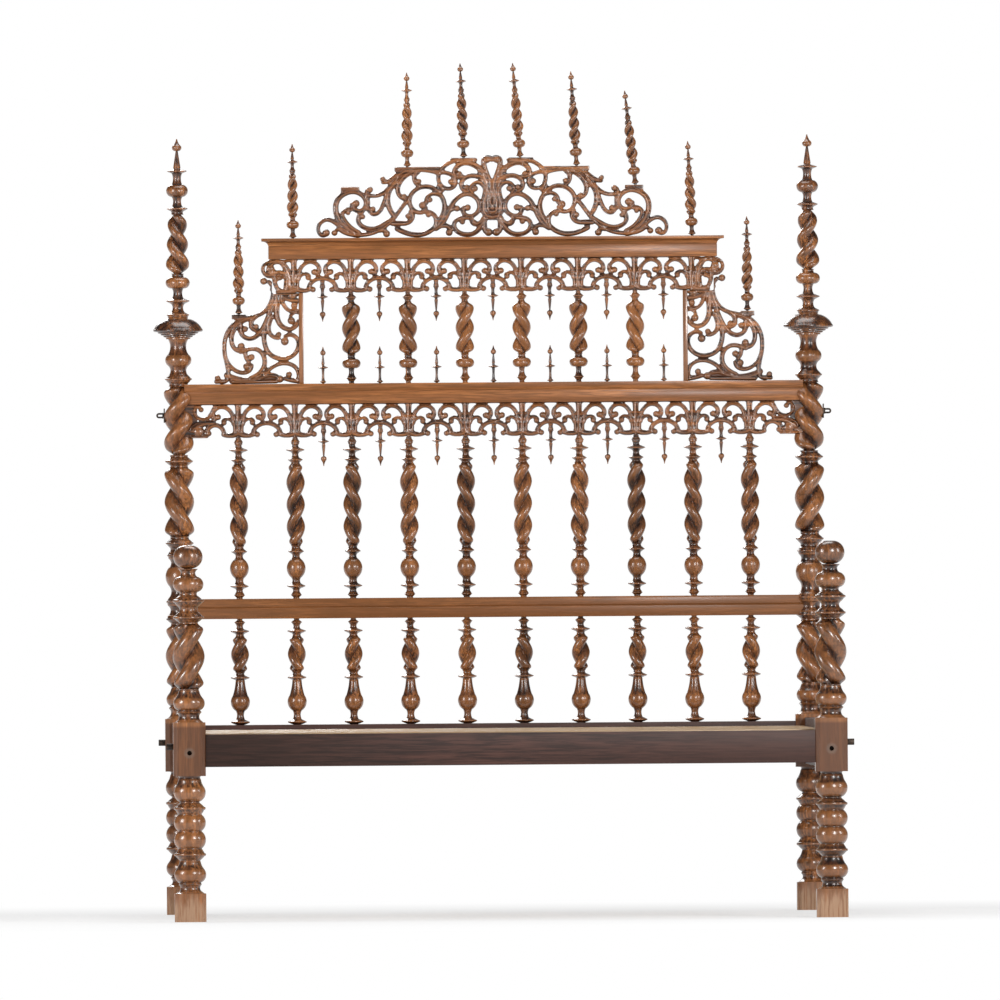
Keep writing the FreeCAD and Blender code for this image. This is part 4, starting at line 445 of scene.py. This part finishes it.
def wear_feet_and_shade_blocks(nodes, place, wood, rough):
    """Pale scuffed feet, square blocks painted darker as painted shade, and a worn grey ring round each
    front bolt's hole.
    """
    split = nodes.add("ShaderNodeSeparateXYZ")
    nodes.feed(split.inputs[0], place)
    across, back, up = split.outputs
    scuff = nodes.noise(nodes.vector("MULTIPLY", place, (60.0, 60.0, 14.0)), 1.0, 4.0, 0.65)
    low = nodes.range(nodes.math("ADD", up, nodes.math("MULTIPLY", scuff, -0.11)), 0.015, -0.03)
    cracks = nodes.noise(nodes.vector("MULTIPLY", place, (210.0, 210.0, 9.0)), 1.0, 3.0, 0.6)
    worn = nodes.math("MULTIPLY", low, nodes.range(cracks, 0.4, 0.52, 0.25, 0.95))
    wood = nodes.mix(worn, wood, (0.36, 0.21, 0.12, 1.0))
    rough = nodes.math("ADD", rough, nodes.math("MULTIPLY", low, 0.35))
    side = nodes.math("SUBTRACT", nodes.math("ABSOLUTE", across), POST_X)
    rise = nodes.math("SUBTRACT", up, BOLT_HOLE_LEVEL)
    squares = nodes.math("ADD", nodes.math("POWER", side, 2.0), nodes.math("POWER", rise, 2.0))
    reach = nodes.math("SQRT", squares)
    ring = nodes.range(nodes.math("ADD", reach, nodes.math("MULTIPLY", scuff, 0.006)), 0.019, 0.011)
    front = nodes.math("LESS_THAN", back, FOOT_FRONT)
    ring = nodes.math("MULTIPLY", nodes.math("MULTIPLY", ring, front), 0.65)
    # Painted shade: the square blocks are darkened below the turnings, for the lower light that their flat
    # faces catch.
    block = nodes.range(nodes.math("ABSOLUTE", rise), BLOCK_HALF_HEIGHT + 0.004, BLOCK_HALF_HEIGHT - 0.004)
    wood = nodes.mix(nodes.math("MULTIPLY", block, 0.6), wood, (0.04, 0.010, 0.003, 1.0))
    return nodes.mix(ring, wood, (0.13, 0.085, 0.06, 1.0)), rough


def plain_wood(name, light, dark):
    """Dry unpolished board wood with its grain along X."""
    material, nodes, shader = fresh_material(name)
    place = nodes.place()
    tone = nodes.attribute("tone")
    own = nodes.vector("ADD", place, nodes.scaled((3.0, 17.0, 5.0), tone))
    along = nodes.vector("MULTIPLY", own, (1.2, 24.0, 24.0))
    figure = nodes.noise(along, 1.0, 4.0, 0.6, 0.8)
    wood = nodes.ramp(figure, (0.32, dark), (0.6, light))
    fine = nodes.noise(nodes.vector("MULTIPLY", own, (9.0, 380.0, 380.0)), 1.0, 2.0, 0.5)
    wood = nodes.mix(0.35, wood, nodes.ramp(fine, (0.35, 0.55), (0.55, 1.0)), "MULTIPLY")
    nodes.feed(shader.inputs["Base Color"], wood)
    nodes.feed(shader.inputs["Roughness"], nodes.math("ADD", nodes.math("MULTIPLY", fine, 0.2), 0.3))
    nodes.bump(shader, 0.4, 0.0005, fine)
    return material


def old_iron(name):
    """Dark forged iron with a little rust."""
    material, nodes, shader = fresh_material(name)
    place = nodes.place()
    rust = nodes.noise(place, 160.0, 5.0, 0.65)
    colour = nodes.ramp(rust, (0.4, (0.035, 0.03, 0.028)), (0.6, (0.085, 0.06, 0.045)),
                        (0.75, (0.16, 0.07, 0.03)))
    nodes.feed(shader.inputs["Base Color"], colour)
    shader.inputs["Metallic"].default_value = 0.85
    nodes.feed(shader.inputs["Roughness"], nodes.math("ADD", nodes.math("MULTIPLY", rust, 0.35), 0.32))
    nodes.bump(shader, 0.5, 0.0004, nodes.noise(place, 420.0, 3.0, 0.6))
    return material


def woods():
    """The finishes of the bed, made once."""
    if "Turned rosewood" not in bpy.data.materials:
        look = bpy.context.scene.bed_wood
        colours = [tuple(c) + (1.0,) for c in (look.light, look.middle, look.dark)]
        gloss = look.gloss
        rosewood("Turned rosewood", "Z", *colours, gloss, feature=1.5)
        rosewood("Post rosewood", "Z", *colours, gloss, worn_feet_and_shaded_blocks=True)
        rosewood("Pierced rosewood", "X", *colours, gloss + 0.04)
        rosewood("Rail rosewood", "X", *colours, gloss + 0.08, coat=0.15, shine=0.25, feature=1.4)
        rails = [tuple(share * c for c in look.rail) + (1.0,) for share in (1.5, 1.0, 0.45)]
        for name, grain in (("Dark cross rail", "X"), ("Dark side rail", "Y")):
            rosewood(name, grain, *rails, gloss + 0.2, streaks=0.6, coat=0.0, shine=0.35)
        plain_wood("Slat wood", (0.5, 0.33, 0.17, 1.0), (0.3, 0.18, 0.085, 1.0))
        old_iron("Old iron")
    return bpy.data.materials


# ---------------------------------------------------------------- pieces

def make_turned(node, name, triangles, tone, material="Turned rosewood", depth=0.0015):
    """A thinned and finished copy of one turning."""
    piece = thin_out(bench_copy(node, name), triangles)
    return finish_piece(piece, woods()[material], tone, [node], depth=depth)


def repeat_turned(master, node, name, tone):
    """A copy of a finished turning, stood in the place of another node."""
    copy = bpy.data.objects.new(name, master.data.copy())
    copy.data.name = name
    bpy.context.scene.collection.objects.link(copy)
    low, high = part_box(node)
    own = points_of(copy)
    centre = (own.min(0) + own.max(0)) / 2
    put_points(copy, own + (np.array((low + high) / 2) - centre))
    put_attribute(copy, "tone", np.full(len(own), tone))
    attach(copy, BEDSTEAD)
    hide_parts(node)
    return copy


def make_tier(tier, tones, triangles):
    """A row of spindles: the first two, which twist opposite ways, are repeated along it."""
    masters = []
    for i, tone in enumerate(tones):
        node = "%s_spindle_%02d" % (tier, i + 1)
        name = node + "_turning"
        if i < 2:
            masters.append(make_turned(node, name, triangles, tone))
        else:
            repeat_turned(masters[i % 2], node, name, tone)


def tones_by_place(obj, centres, tones):
    """The tone of each point, from the nearest of several upright pieces."""
    across = points_of(obj)[:, 0]
    nearest = np.abs(across[:, None] - np.array(centres)[None, :]).argmin(1)
    return np.array(tones)[nearest]


def spaced(count):
    """Places across the bed, one pitch of the spindles apart, about its middle."""
    return [(i - (count - 1) / 2) * STEM_PITCH for i in range(count)]


def make_group(node, triangles, centres, tones):
    """Several upright turnings that share one node, each in the tone of its own place."""
    piece = thin_out(bench_copy(node, node + "_turned"), triangles)
    return finish_piece(piece, woods()["Turned rosewood"], tones_by_place(piece, centres, tones),
                        [node], depth=0.001)


def soft_edges(obj, width, segments=2):
    """Broken edges, as a worn board has."""
    select_only(obj)
    bpy.ops.object.mode_set(mode="EDIT")
    bpy.ops.mesh.select_all(action="SELECT")
    bpy.ops.mesh.dissolve_limited(angle_limit=math.radians(0.6))
    bpy.ops.object.mode_set(mode="OBJECT")
    edge = obj.modifiers.new("Broken edges", "BEVEL")
    edge.width = width
    edge.segments = segments
    edge.limit_method = "ANGLE"
    edge.angle_limit = math.radians(40)
    edge.use_clamp_overlap = True
    apply_all(obj)


def make_board(node, material, tone, width=0.0012, body=BEDSTEAD):
    """A finished copy of a plain board or moulding, with its edges broken."""
    piece = bench_copy(node, node + "_board")
    soft_edges(piece, width)
    return finish_piece(piece, woods()[material], tone, [node], body)


def flipped(strands):
    """The mirror images, left for right."""
    return [([(-x, z) for x, z in points], widths, ball and (-ball[0], *ball[1:]), -side)
            for points, widths, ball, side in strands]


def sided(pattern):
    """The strands of a pattern, each with the side that its ridge lies on."""
    return [(points, widths, ball, 1) for points, widths, ball in pattern]


def shifted(strands, across):
    """The strands moved sideways, in squares."""
    return [([(x + across, z) for x, z in points], widths, ball and (ball[0] + across, *ball[1:]), side)
            for points, widths, ball, side in strands]


def flipped_pads(pads):
    return tuple((-high_x, low_z, -low_x, high_z) for low_x, low_z, high_x, high_z in pads)


def fret_strands(stem_count, end_pattern):
    """Every strand of a hanging fret: a scrolled stem at each spindle, arches between them, two ends."""
    pitch = STEM_PITCH / SQUARE
    unit, arch, end = sided(FRET_HALF), sided(FRET_ARCH), sided(end_pattern)
    strands = []
    for i in range(stem_count):
        place = pitch * (i - (stem_count - 1) / 2)
        strands += shifted(unit + flipped(unit[1:]), place)
        if i < stem_count - 1:
            strands += shifted(arch, place) + shifted(flipped(arch), place + pitch)
    last = pitch * (stem_count - 1) / 2
    return strands + shifted(end, last) + shifted(flipped(end), -last)


def smooth_line(points, widths, step=1.2):
    """Close points on a smooth line through the given ones, with the direction and half width at each."""
    given = np.array(points, float)
    padded = np.vstack([2 * given[0] - given[1], given, 2 * given[-1] - given[-2]])
    places, shares = [], []
    for i in range(len(given) - 1):
        before, start, end, after = padded[i:i + 4]
        count = max(2, int(np.linalg.norm(end - start) / step))
        for u in np.linspace(0, 1, count, endpoint=False):
            places.append(0.5 * (2 * start + (end - before) * u
                                 + (2 * before - 5 * start + 4 * end - after) * u ** 2
                                 + (3 * start - before - 3 * end + after) * u ** 3))
            shares.append((i + u) / (len(given) - 1))
    places.append(given[-1])
    shares.append(1.0)
    places = np.array(places)
    along = np.gradient(places, axis=0)
    along /= np.linalg.norm(along, axis=1)[:, None] + 1e-9
    return places, along, widths[0] + (widths[1] - widths[0]) * np.array(shares)


def round_over(share):
    """The height of a round moulding at a share of its half width."""
    return np.sqrt(np.clip(1 - share ** 2, 0, 1))


RIDGE_PLACE = 0.27    # how far off its middle the wide roll of a strand lies, as a share of its half width
BEAD_PLACE = 0.68     # the same for the narrow bead along its other edge
BEAD_HEIGHT = 0.86
BALL_HEIGHT = 1.12
PAD_HEIGHT = 0.62
GROUND_HEIGHT = 0.3


def relief(spots, strands, pads):
    """How high the carving stands at each spot: 0.3 along its edges, about 1 on its ridges."""
    height = np.zeros(len(spots))
    for k, (points, widths, ball, side) in enumerate(strands):
        places, along, half = smooth_line(points, widths)
        reach = half.max() + 1
        near = np.nonzero(((spots > places.min(0) - reach) & (spots < places.max(0) + reach)).all(1))[0]
        lift = 0.84 + 0.16 * ((k * 0.618) % 1.0)
        if len(near):
            gaps = spots[near][:, None, :] - places[None, :, :]
            away = np.linalg.norm(gaps, axis=2)
            nearest = away.argmin(1)
            rows = np.arange(len(near))
            gap, course = gaps[rows, nearest], along[nearest]
            turn = np.sign(course[:, 0] * gap[:, 1] - course[:, 1] * gap[:, 0]) * side
            across = turn * away[rows, nearest] / half[nearest]
            roll = round_over((across + RIDGE_PLACE) / (1 - RIDGE_PLACE))
            bead = BEAD_HEIGHT * round_over((across - BEAD_PLACE) / (1 - BEAD_PLACE))
            height[near] = np.maximum(height[near], lift * np.maximum(roll, bead))
        if ball:
            away = np.linalg.norm(spots - np.array(ball[:2]), axis=1)
            height = np.maximum(height, BALL_HEIGHT * round_over(away / (ball[2] + 0.3)))
    for low_x, low_z, high_x, high_z in pads:
        inside = (spots > (low_x, low_z)) & (spots < (high_x, high_z))
        height = np.where(inside.all(1), np.maximum(height, PAD_HEIGHT), height)
    return np.maximum(height, GROUND_HEIGHT)


def carve(obj, look, strands, pads, origin):
    """Cuts the strands into the front of a sawn board. Returns how hollow each point of it is, which the
    wood turns into painted shade and painted highlight.
    """
    even = obj.modifiers.new("Even faces", "REMESH")
    even.mode = "VOXEL"
    even.voxel_size = look.voxel
    apply_all(obj)
    points, directions = points_of(obj), directions_of(obj)
    low, high = points[:, 1].min(), points[:, 1].max()
    front = directions[:, 1] < -0.6
    back = directions[:, 1] > 0.6
    wall = ~front & ~back
    spots = (points[:, (0, 2)] - np.array(origin)) / SQUARE
    height = np.zeros(len(points))
    height[front] = relief(spots[front], strands, pads)
    from_front = (points[:, 1] - low) / (high - low)
    moved = points.copy()
    moved[front, 1] = low + look.depth * (1 - height[front])
    moved[wall, 1] = low + look.depth + (high - low - look.depth) * from_front[wall]
    put_points(obj, moved)
    smoother = obj.modifiers.new("Sanded", "SMOOTH")
    smoother.factor = 0.4
    smoother.iterations = 1
    apply_all(obj)
    # Low strand edges count as hollow and take painted shade; high ridges take a painted highlight.
    hollow = np.clip(1.04 - height, 0, 1)
    # Painted shade: the walls of the piercings are darkened, most where they meet the carved front.
    hollow[wall] = 0.5 + 0.35 * (1 - from_front[wall])
    hollow[back] = 0.5
    return hollow


def make_carving(node, tone, strands, pads, origin, triangles):
    """A pierced board with its strands carved. The pattern counts from the origin, across and up."""
    piece = bench_copy(node, node + "_carving")
    put_attribute(piece, "hollow", carve(piece, bpy.context.scene.bed_carving, strands, pads, origin))
    thin_out(piece, triangles)
    finish_piece(piece, woods()["Pierced rosewood"], tone, [node], depth=None)
    shade(piece, 75)
    return piece


# ---------------------------------------------------------------- settings

class BedWood(bpy.types.PropertyGroup):
    """Colours and gloss of the wood."""

    light: bpy.props.FloatVectorProperty(name="Light wood", description="The palest streaks of the wood",
                                         subtype="COLOR", min=0, max=1, default=(0.40, 0.155, 0.048))
    middle: bpy.props.FloatVectorProperty(name="Middle wood", description="The body colour of the wood",
                                          subtype="COLOR", min=0, max=1, default=(0.14, 0.047, 0.016))
    dark: bpy.props.FloatVectorProperty(name="Dark wood", description="The darkest streaks of the wood",
                                        subtype="COLOR", min=0, max=1, default=(0.026, 0.009, 0.006))
    rail: bpy.props.FloatVectorProperty(name="Low rails", description="The body colour of the low rails",
                                        subtype="COLOR", min=0, max=1, default=(0.05, 0.02, 0.014))
    gloss: bpy.props.FloatProperty(name="Roughness", description="Roughness of the polish on the turnings",
                                   min=0, max=1, default=0.24)


class BedCarving(bpy.types.PropertyGroup):
    """Sizes of the carved relief."""

    voxel: bpy.props.FloatProperty(name="Grain of the mesh", description="Edge length of the carved faces",
                                   subtype="DISTANCE", default=0.0017)
    depth: bpy.props.FloatProperty(name="Relief", description="How far the strands fall away to their edges",
                                   subtype="DISTANCE", default=0.0075)


class BedStage(bpy.types.PropertyGroup):
    """Lamps of the studio."""

    key_power: bpy.props.FloatProperty(name="Front lamps", description="Power of each front lamp",
                                       subtype="POWER", default=205.0)
    fill: bpy.props.FloatProperty(name="Fill", description="Strength of the even light from all round",
                                  default=0.13)


# ---------------------------------------------------------------- operators

class BED_OT_posts(bpy.types.Operator):
    """Head posts, foot posts, and the wide discs and pinnacles on the head posts"""
    bl_idname = "bed.posts"
    bl_label = "Posts"

    def execute(self, context):
        # The left posts take the lighter tone, partly painted light: it stands in for the haze that the left
        # lamp lays on them.
        for side, tone in zip(SIDES, (0.36, 0.58)):
            make_turned("head_post_" + side, "head_post_%s_turning" % side, 90000, tone,
                        "Post rosewood", 0.0025)
            make_turned("foot_post_" + side, "foot_post_%s_turning" % side, 52000, tone + 0.26,
                        "Post rosewood", 0.0025)
            make_turned("post_cap_" + side, "post_cap_%s_turning" % side, 30000, 0.72)
            make_turned("pinnacle_" + side, "pinnacle_%s_turning" % side, 26000, 0.46)
        return {"FINISHED"}


class BED_OT_spindles(bpy.types.Operator):
    """The three tiers of twisted spindles"""
    bl_idname = "bed.spindles"
    bl_label = "Spindles"

    def execute(self, context):
        make_tier("lower", LOWER_TONES, 13000)
        make_tier("middle", MIDDLE_TONES, 18000)
        make_group("upper_spindles", 75000, spaced(6), UPPER_TONES)
        return {"FINISHED"}


class BED_OT_finials(bpy.types.Operator):
    """Finials on the crest, cornice, wings and main rail, and the hanging pendants"""
    bl_idname = "bed.finials"
    bl_label = "Finials and pendants"

    def execute(self, context):
        make_group("crest_finials", 45000, (-0.203, -0.067, 0.067, 0.203, 0.343), CREST_FINIAL_TONES)
        make_group("cornice_finials", 20000, (-0.478, 0.478), (0.4, 0.34))
        make_group("wing_finials", 20000, (-0.611, 0.611), (0.5, 0.42))
        make_group("rail_finials", 21000, spaced(7), SMALL_TONES)
        make_group("upper_pendants", 21000, spaced(7), SMALL_TONES)
        make_group("main_pendants", 24000, spaced(9)[1:], SMALL_TONES + (0.3,))
        return {"FINISHED"}


class BED_OT_rails(bpy.types.Operator):
    """Low rails, side rails, headboard rails, frieze, cornice and the strips beside the wings"""
    bl_idname = "bed.rails"
    bl_label = "Rails and mouldings"

    def execute(self, context):
        make_board("foot_rail", "Dark cross rail", 0.5)
        make_board("head_bottom_rail", "Dark cross rail", 0.62)
        make_board("head_middle_rail", "Rail rosewood", 0.85, 0.0006)
        make_board("head_main_rail", "Rail rosewood", 0.36, 0.0006)
        make_board("frieze_board", "Rail rosewood", 0.34)
        make_board("cornice_moulding", "Rail rosewood", 0.52, 0.0006)
        for side in SIDES:
            make_board("side_rail_" + side, "Dark side rail", 0.5)
            make_board("wing_stile_" + side, "Turned rosewood", 0.5, 0.0006)
        return {"FINISHED"}


class BED_OT_carvings(bpy.types.Operator):
    """The pierced and carved boards"""
    bl_idname = "bed.carvings"
    bl_label = "Carved boards"

    def execute(self, context):
        low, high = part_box("main_fret")
        make_carving("main_fret", 0.46, fret_strands(10, WALL_END), (), (0, high.z), 190000)
        low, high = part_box("upper_fret")
        make_carving("upper_fret", 0.5, fret_strands(8, CURL_END), (), (0, high.z), 150000)
        low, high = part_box("crest")
        half = sided(CREST_HALF)
        make_carving("crest", 0.48, half + flipped(half), CREST_PADS + flipped_pads(CREST_PADS), (0, low.z),
                     190000)
        wing = sided(WING_PATTERN)
        sides = (("left", wing, WING_PADS), ("right", flipped(wing), flipped_pads(WING_PADS)))
        for side, strands, pads in sides:
            low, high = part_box("wing_stile_" + side)
            make_carving("wing_" + side, 0.52, strands, pads, ((low.x + high.x) / 2, low.z), 95000)
        return {"FINISHED"}


SLAT_COUNT = 13
SLAT_WIDTH = 0.09


class BED_OT_slats(bpy.types.Operator):
    """Slats and the ledgers that they lie on"""
    bl_idname = "bed.slats"
    bl_label = "Slats"

    def execute(self, context):
        slats = make_board("slats", "Slat wood", 0.0, 0.0015, "slats")
        low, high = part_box("slats")
        steps = (points_of(slats)[:, 1] - low.y) / (high.y - low.y - SLAT_WIDTH)
        gaps = SLAT_COUNT - 1
        put_attribute(slats, "tone", np.round(np.clip(steps, 0, 1) * gaps) / gaps)
        for side in SIDES:
            make_board("slat_ledger_" + side, "Dark side rail", 0.3)
        return {"FINISHED"}


class BED_OT_ironwork(bpy.types.Operator):
    """Bolts, nuts, ring bolts and their plates"""
    bl_idname = "bed.ironwork"
    bl_label = "Ironwork"

    def execute(self, context):
        iron = woods()["Old iron"]
        for node in ("cross_rail_bolts", "side_rail_bolts", "bolt_nuts", "bolt_plates"):
            piece = bench_copy(node, node + "_iron")
            soft_edges(piece, 0.0006)
            finish_piece(piece, iron, 0.5, [node])
        for side in SIDES:
            node = "ring_bolt_" + side
            finish_piece(bench_copy(node, node + "_iron"), iron, 0.5, [node], node)
        return {"FINISHED"}


CAMERA_PLACE = (-1.80, -108.0, 0.949)
CAMERA_TURN = (90.02, 0.433, -0.953)
CAMERA_LENS = 1639.0


def pale_floor():
    """Matt paint near the bed, which glows white far from it, so that the floor fades into the wall."""
    material = bpy.data.materials.new("Pale floor")
    material.use_nodes = True
    nodes = Nodes(material.node_tree)
    paint = nodes.add("ShaderNodeBsdfDiffuse")
    paint.inputs["Color"].default_value = (0.86, 0.86, 0.86, 1.0)
    glow = nodes.add("ShaderNodeEmission")
    away = nodes.vector("LENGTH", nodes.place(), (0.0, 0.0, 0.0))
    far = nodes.range(away, 1.2, 4.0, 0.55, 1.0)
    path = nodes.add("ShaderNodeLightPath")
    seen = nodes.math("MAXIMUM", path.outputs["Is Camera Ray"], path.outputs["Is Glossy Ray"])
    blend = nodes.add("ShaderNodeMixShader")
    nodes.feed(blend.inputs[0], nodes.math("MULTIPLY", far, seen))
    nodes.feed(blend.inputs[1], paint.outputs[0])
    nodes.feed(blend.inputs[2], glow.outputs[0])
    output = nodes.add("ShaderNodeOutputMaterial")
    nodes.feed(output.inputs[0], blend.outputs[0])
    return material


def studio_world(fill):
    """White to the eye, soft in its light, and seen in the polish only straight behind the bed."""
    world = bpy.data.worlds.new("Studio")
    bpy.context.scene.world = world
    world.use_nodes = True
    nodes = Nodes(world.node_tree)
    path = nodes.add("ShaderNodeLightPath")
    way = nodes.add("ShaderNodeTexCoord").outputs["Generated"]
    split = nodes.add("ShaderNodeSeparateXYZ")
    nodes.feed(split.inputs[0], way)
    behind = nodes.range(split.outputs[1], 0.85, 1.0, 0.07, 1.0)
    seen = nodes.math("MAXIMUM", path.outputs["Is Glossy Ray"], path.outputs["Is Transmission Ray"])
    soft = nodes.math("ADD", nodes.math("MULTIPLY", seen, nodes.math("SUBTRACT", behind, fill)), fill)
    lit = nodes.math("MAXIMUM", soft, path.outputs["Is Camera Ray"])
    back = nodes.add("ShaderNodeBackground")
    back.inputs["Color"].default_value = (1.0, 1.0, 1.0, 1.0)
    nodes.feed(back.inputs["Strength"], lit)
    output = nodes.add("ShaderNodeOutputWorld")
    nodes.feed(output.inputs[0], back.outputs[0])


def add_lamp(name, place, aim, size, power):
    """A soft box lamp at a place, turned towards another."""
    bpy.ops.object.light_add(type="AREA", location=place)
    lamp = bpy.context.object
    lamp.name = name
    lamp.data.shape = "RECTANGLE"
    lamp.data.size, lamp.data.size_y = size
    lamp.data.energy = power
    lamp.rotation_euler = (Vector(aim) - Vector(place)).to_track_quat("-Z", "Y").to_euler()
    return lamp


class BED_OT_stage(bpy.types.Operator):
    """Floor, lamps, world and camera"""
    bl_idname = "bed.stage"
    bl_label = "Stage"

    def execute(self, context):
        look = context.scene.bed_stage
        bpy.ops.mesh.primitive_plane_add(size=300.0, location=(0, 0, 0))
        floor = context.object
        floor.name = "studio_floor"
        floor.data.materials.append(pale_floor())
        studio_world(look.fill)
        add_lamp("lamp_front", (2.3, -5.6, 2.4), (0, 0.4, 1.0), (0.9, 1.8), look.key_power)
        add_lamp("lamp_left", (-4.8, -3.2, 2.0), (0, 0.4, 1.0), (0.9, 2.2), look.key_power * 0.9)
        add_lamp("lamp_right", (4.8, -2.6, 2.0), (0, 0.4, 1.0), (0.6, 1.8), look.key_power * 0.35)
        add_lamp("lamp_top", (0, 0.8, 4.6), (0, 0.4, 0.8), (3.0, 2.0), look.key_power * 0.45)
        add_lamp("lamp_back", (-1.5, 6.5, 3.8), (0, 0.9, 1.0), (2.4, 1.6), look.key_power * 0.55)
        bpy.ops.object.camera_add(location=CAMERA_PLACE, rotation=[math.radians(a) for a in CAMERA_TURN])
        camera = context.object
        camera.name = "camera"
        camera.data.lens = CAMERA_LENS
        camera.data.sensor_width = 36.0
        camera.data.clip_start = 1.0
        camera.data.clip_end = 500.0
        context.scene.camera = camera
        context.scene.view_settings.view_transform = "Standard"
        return {"FINISHED"}


class BED_PT_panel(bpy.types.Panel):
    """Lists the settings and the makers of the bed"""
    bl_label = "Spindle bed"
    bl_idname = "BED_PT_panel"
    bl_space_type = "VIEW_3D"
    bl_region_type = "UI"
    bl_category = "Bed"

    def draw(self, context):
        for group in (context.scene.bed_wood, context.scene.bed_carving, context.scene.bed_stage):
            box = self.layout.box()
            for key in group.__annotations__:
                box.prop(group, key)
        for operator in OPERATORS:
            self.layout.operator(operator.bl_idname)


SETTINGS = (BedWood, BedCarving, BedStage)
OPERATORS = (BED_OT_stage, BED_OT_posts, BED_OT_spindles, BED_OT_finials, BED_OT_rails, BED_OT_carvings,
             BED_OT_slats, BED_OT_ironwork)
CLASSES = SETTINGS + OPERATORS + (BED_PT_panel,)


def register():
    for item in CLASSES:
        bpy.utils.register_class(item)
    bpy.types.Scene.bed_wood = bpy.props.PointerProperty(type=BedWood)
    bpy.types.Scene.bed_carving = bpy.props.PointerProperty(type=BedCarving)
    bpy.types.Scene.bed_stage = bpy.props.PointerProperty(type=BedStage)


def unregister():
    del bpy.types.Scene.bed_wood
    del bpy.types.Scene.bed_carving
    del bpy.types.Scene.bed_stage
    for item in reversed(CLASSES):
        bpy.utils.unregister_class(item)


def main():
    register()
    bpy.ops.bed.stage()
    bpy.ops.bed.posts()
    bpy.ops.bed.spindles()
    bpy.ops.bed.finials()
    bpy.ops.bed.rails()
    bpy.ops.bed.carvings()
    bpy.ops.bed.slats()
    bpy.ops.bed.ironwork()


if __name__ == "__main__":
    main()
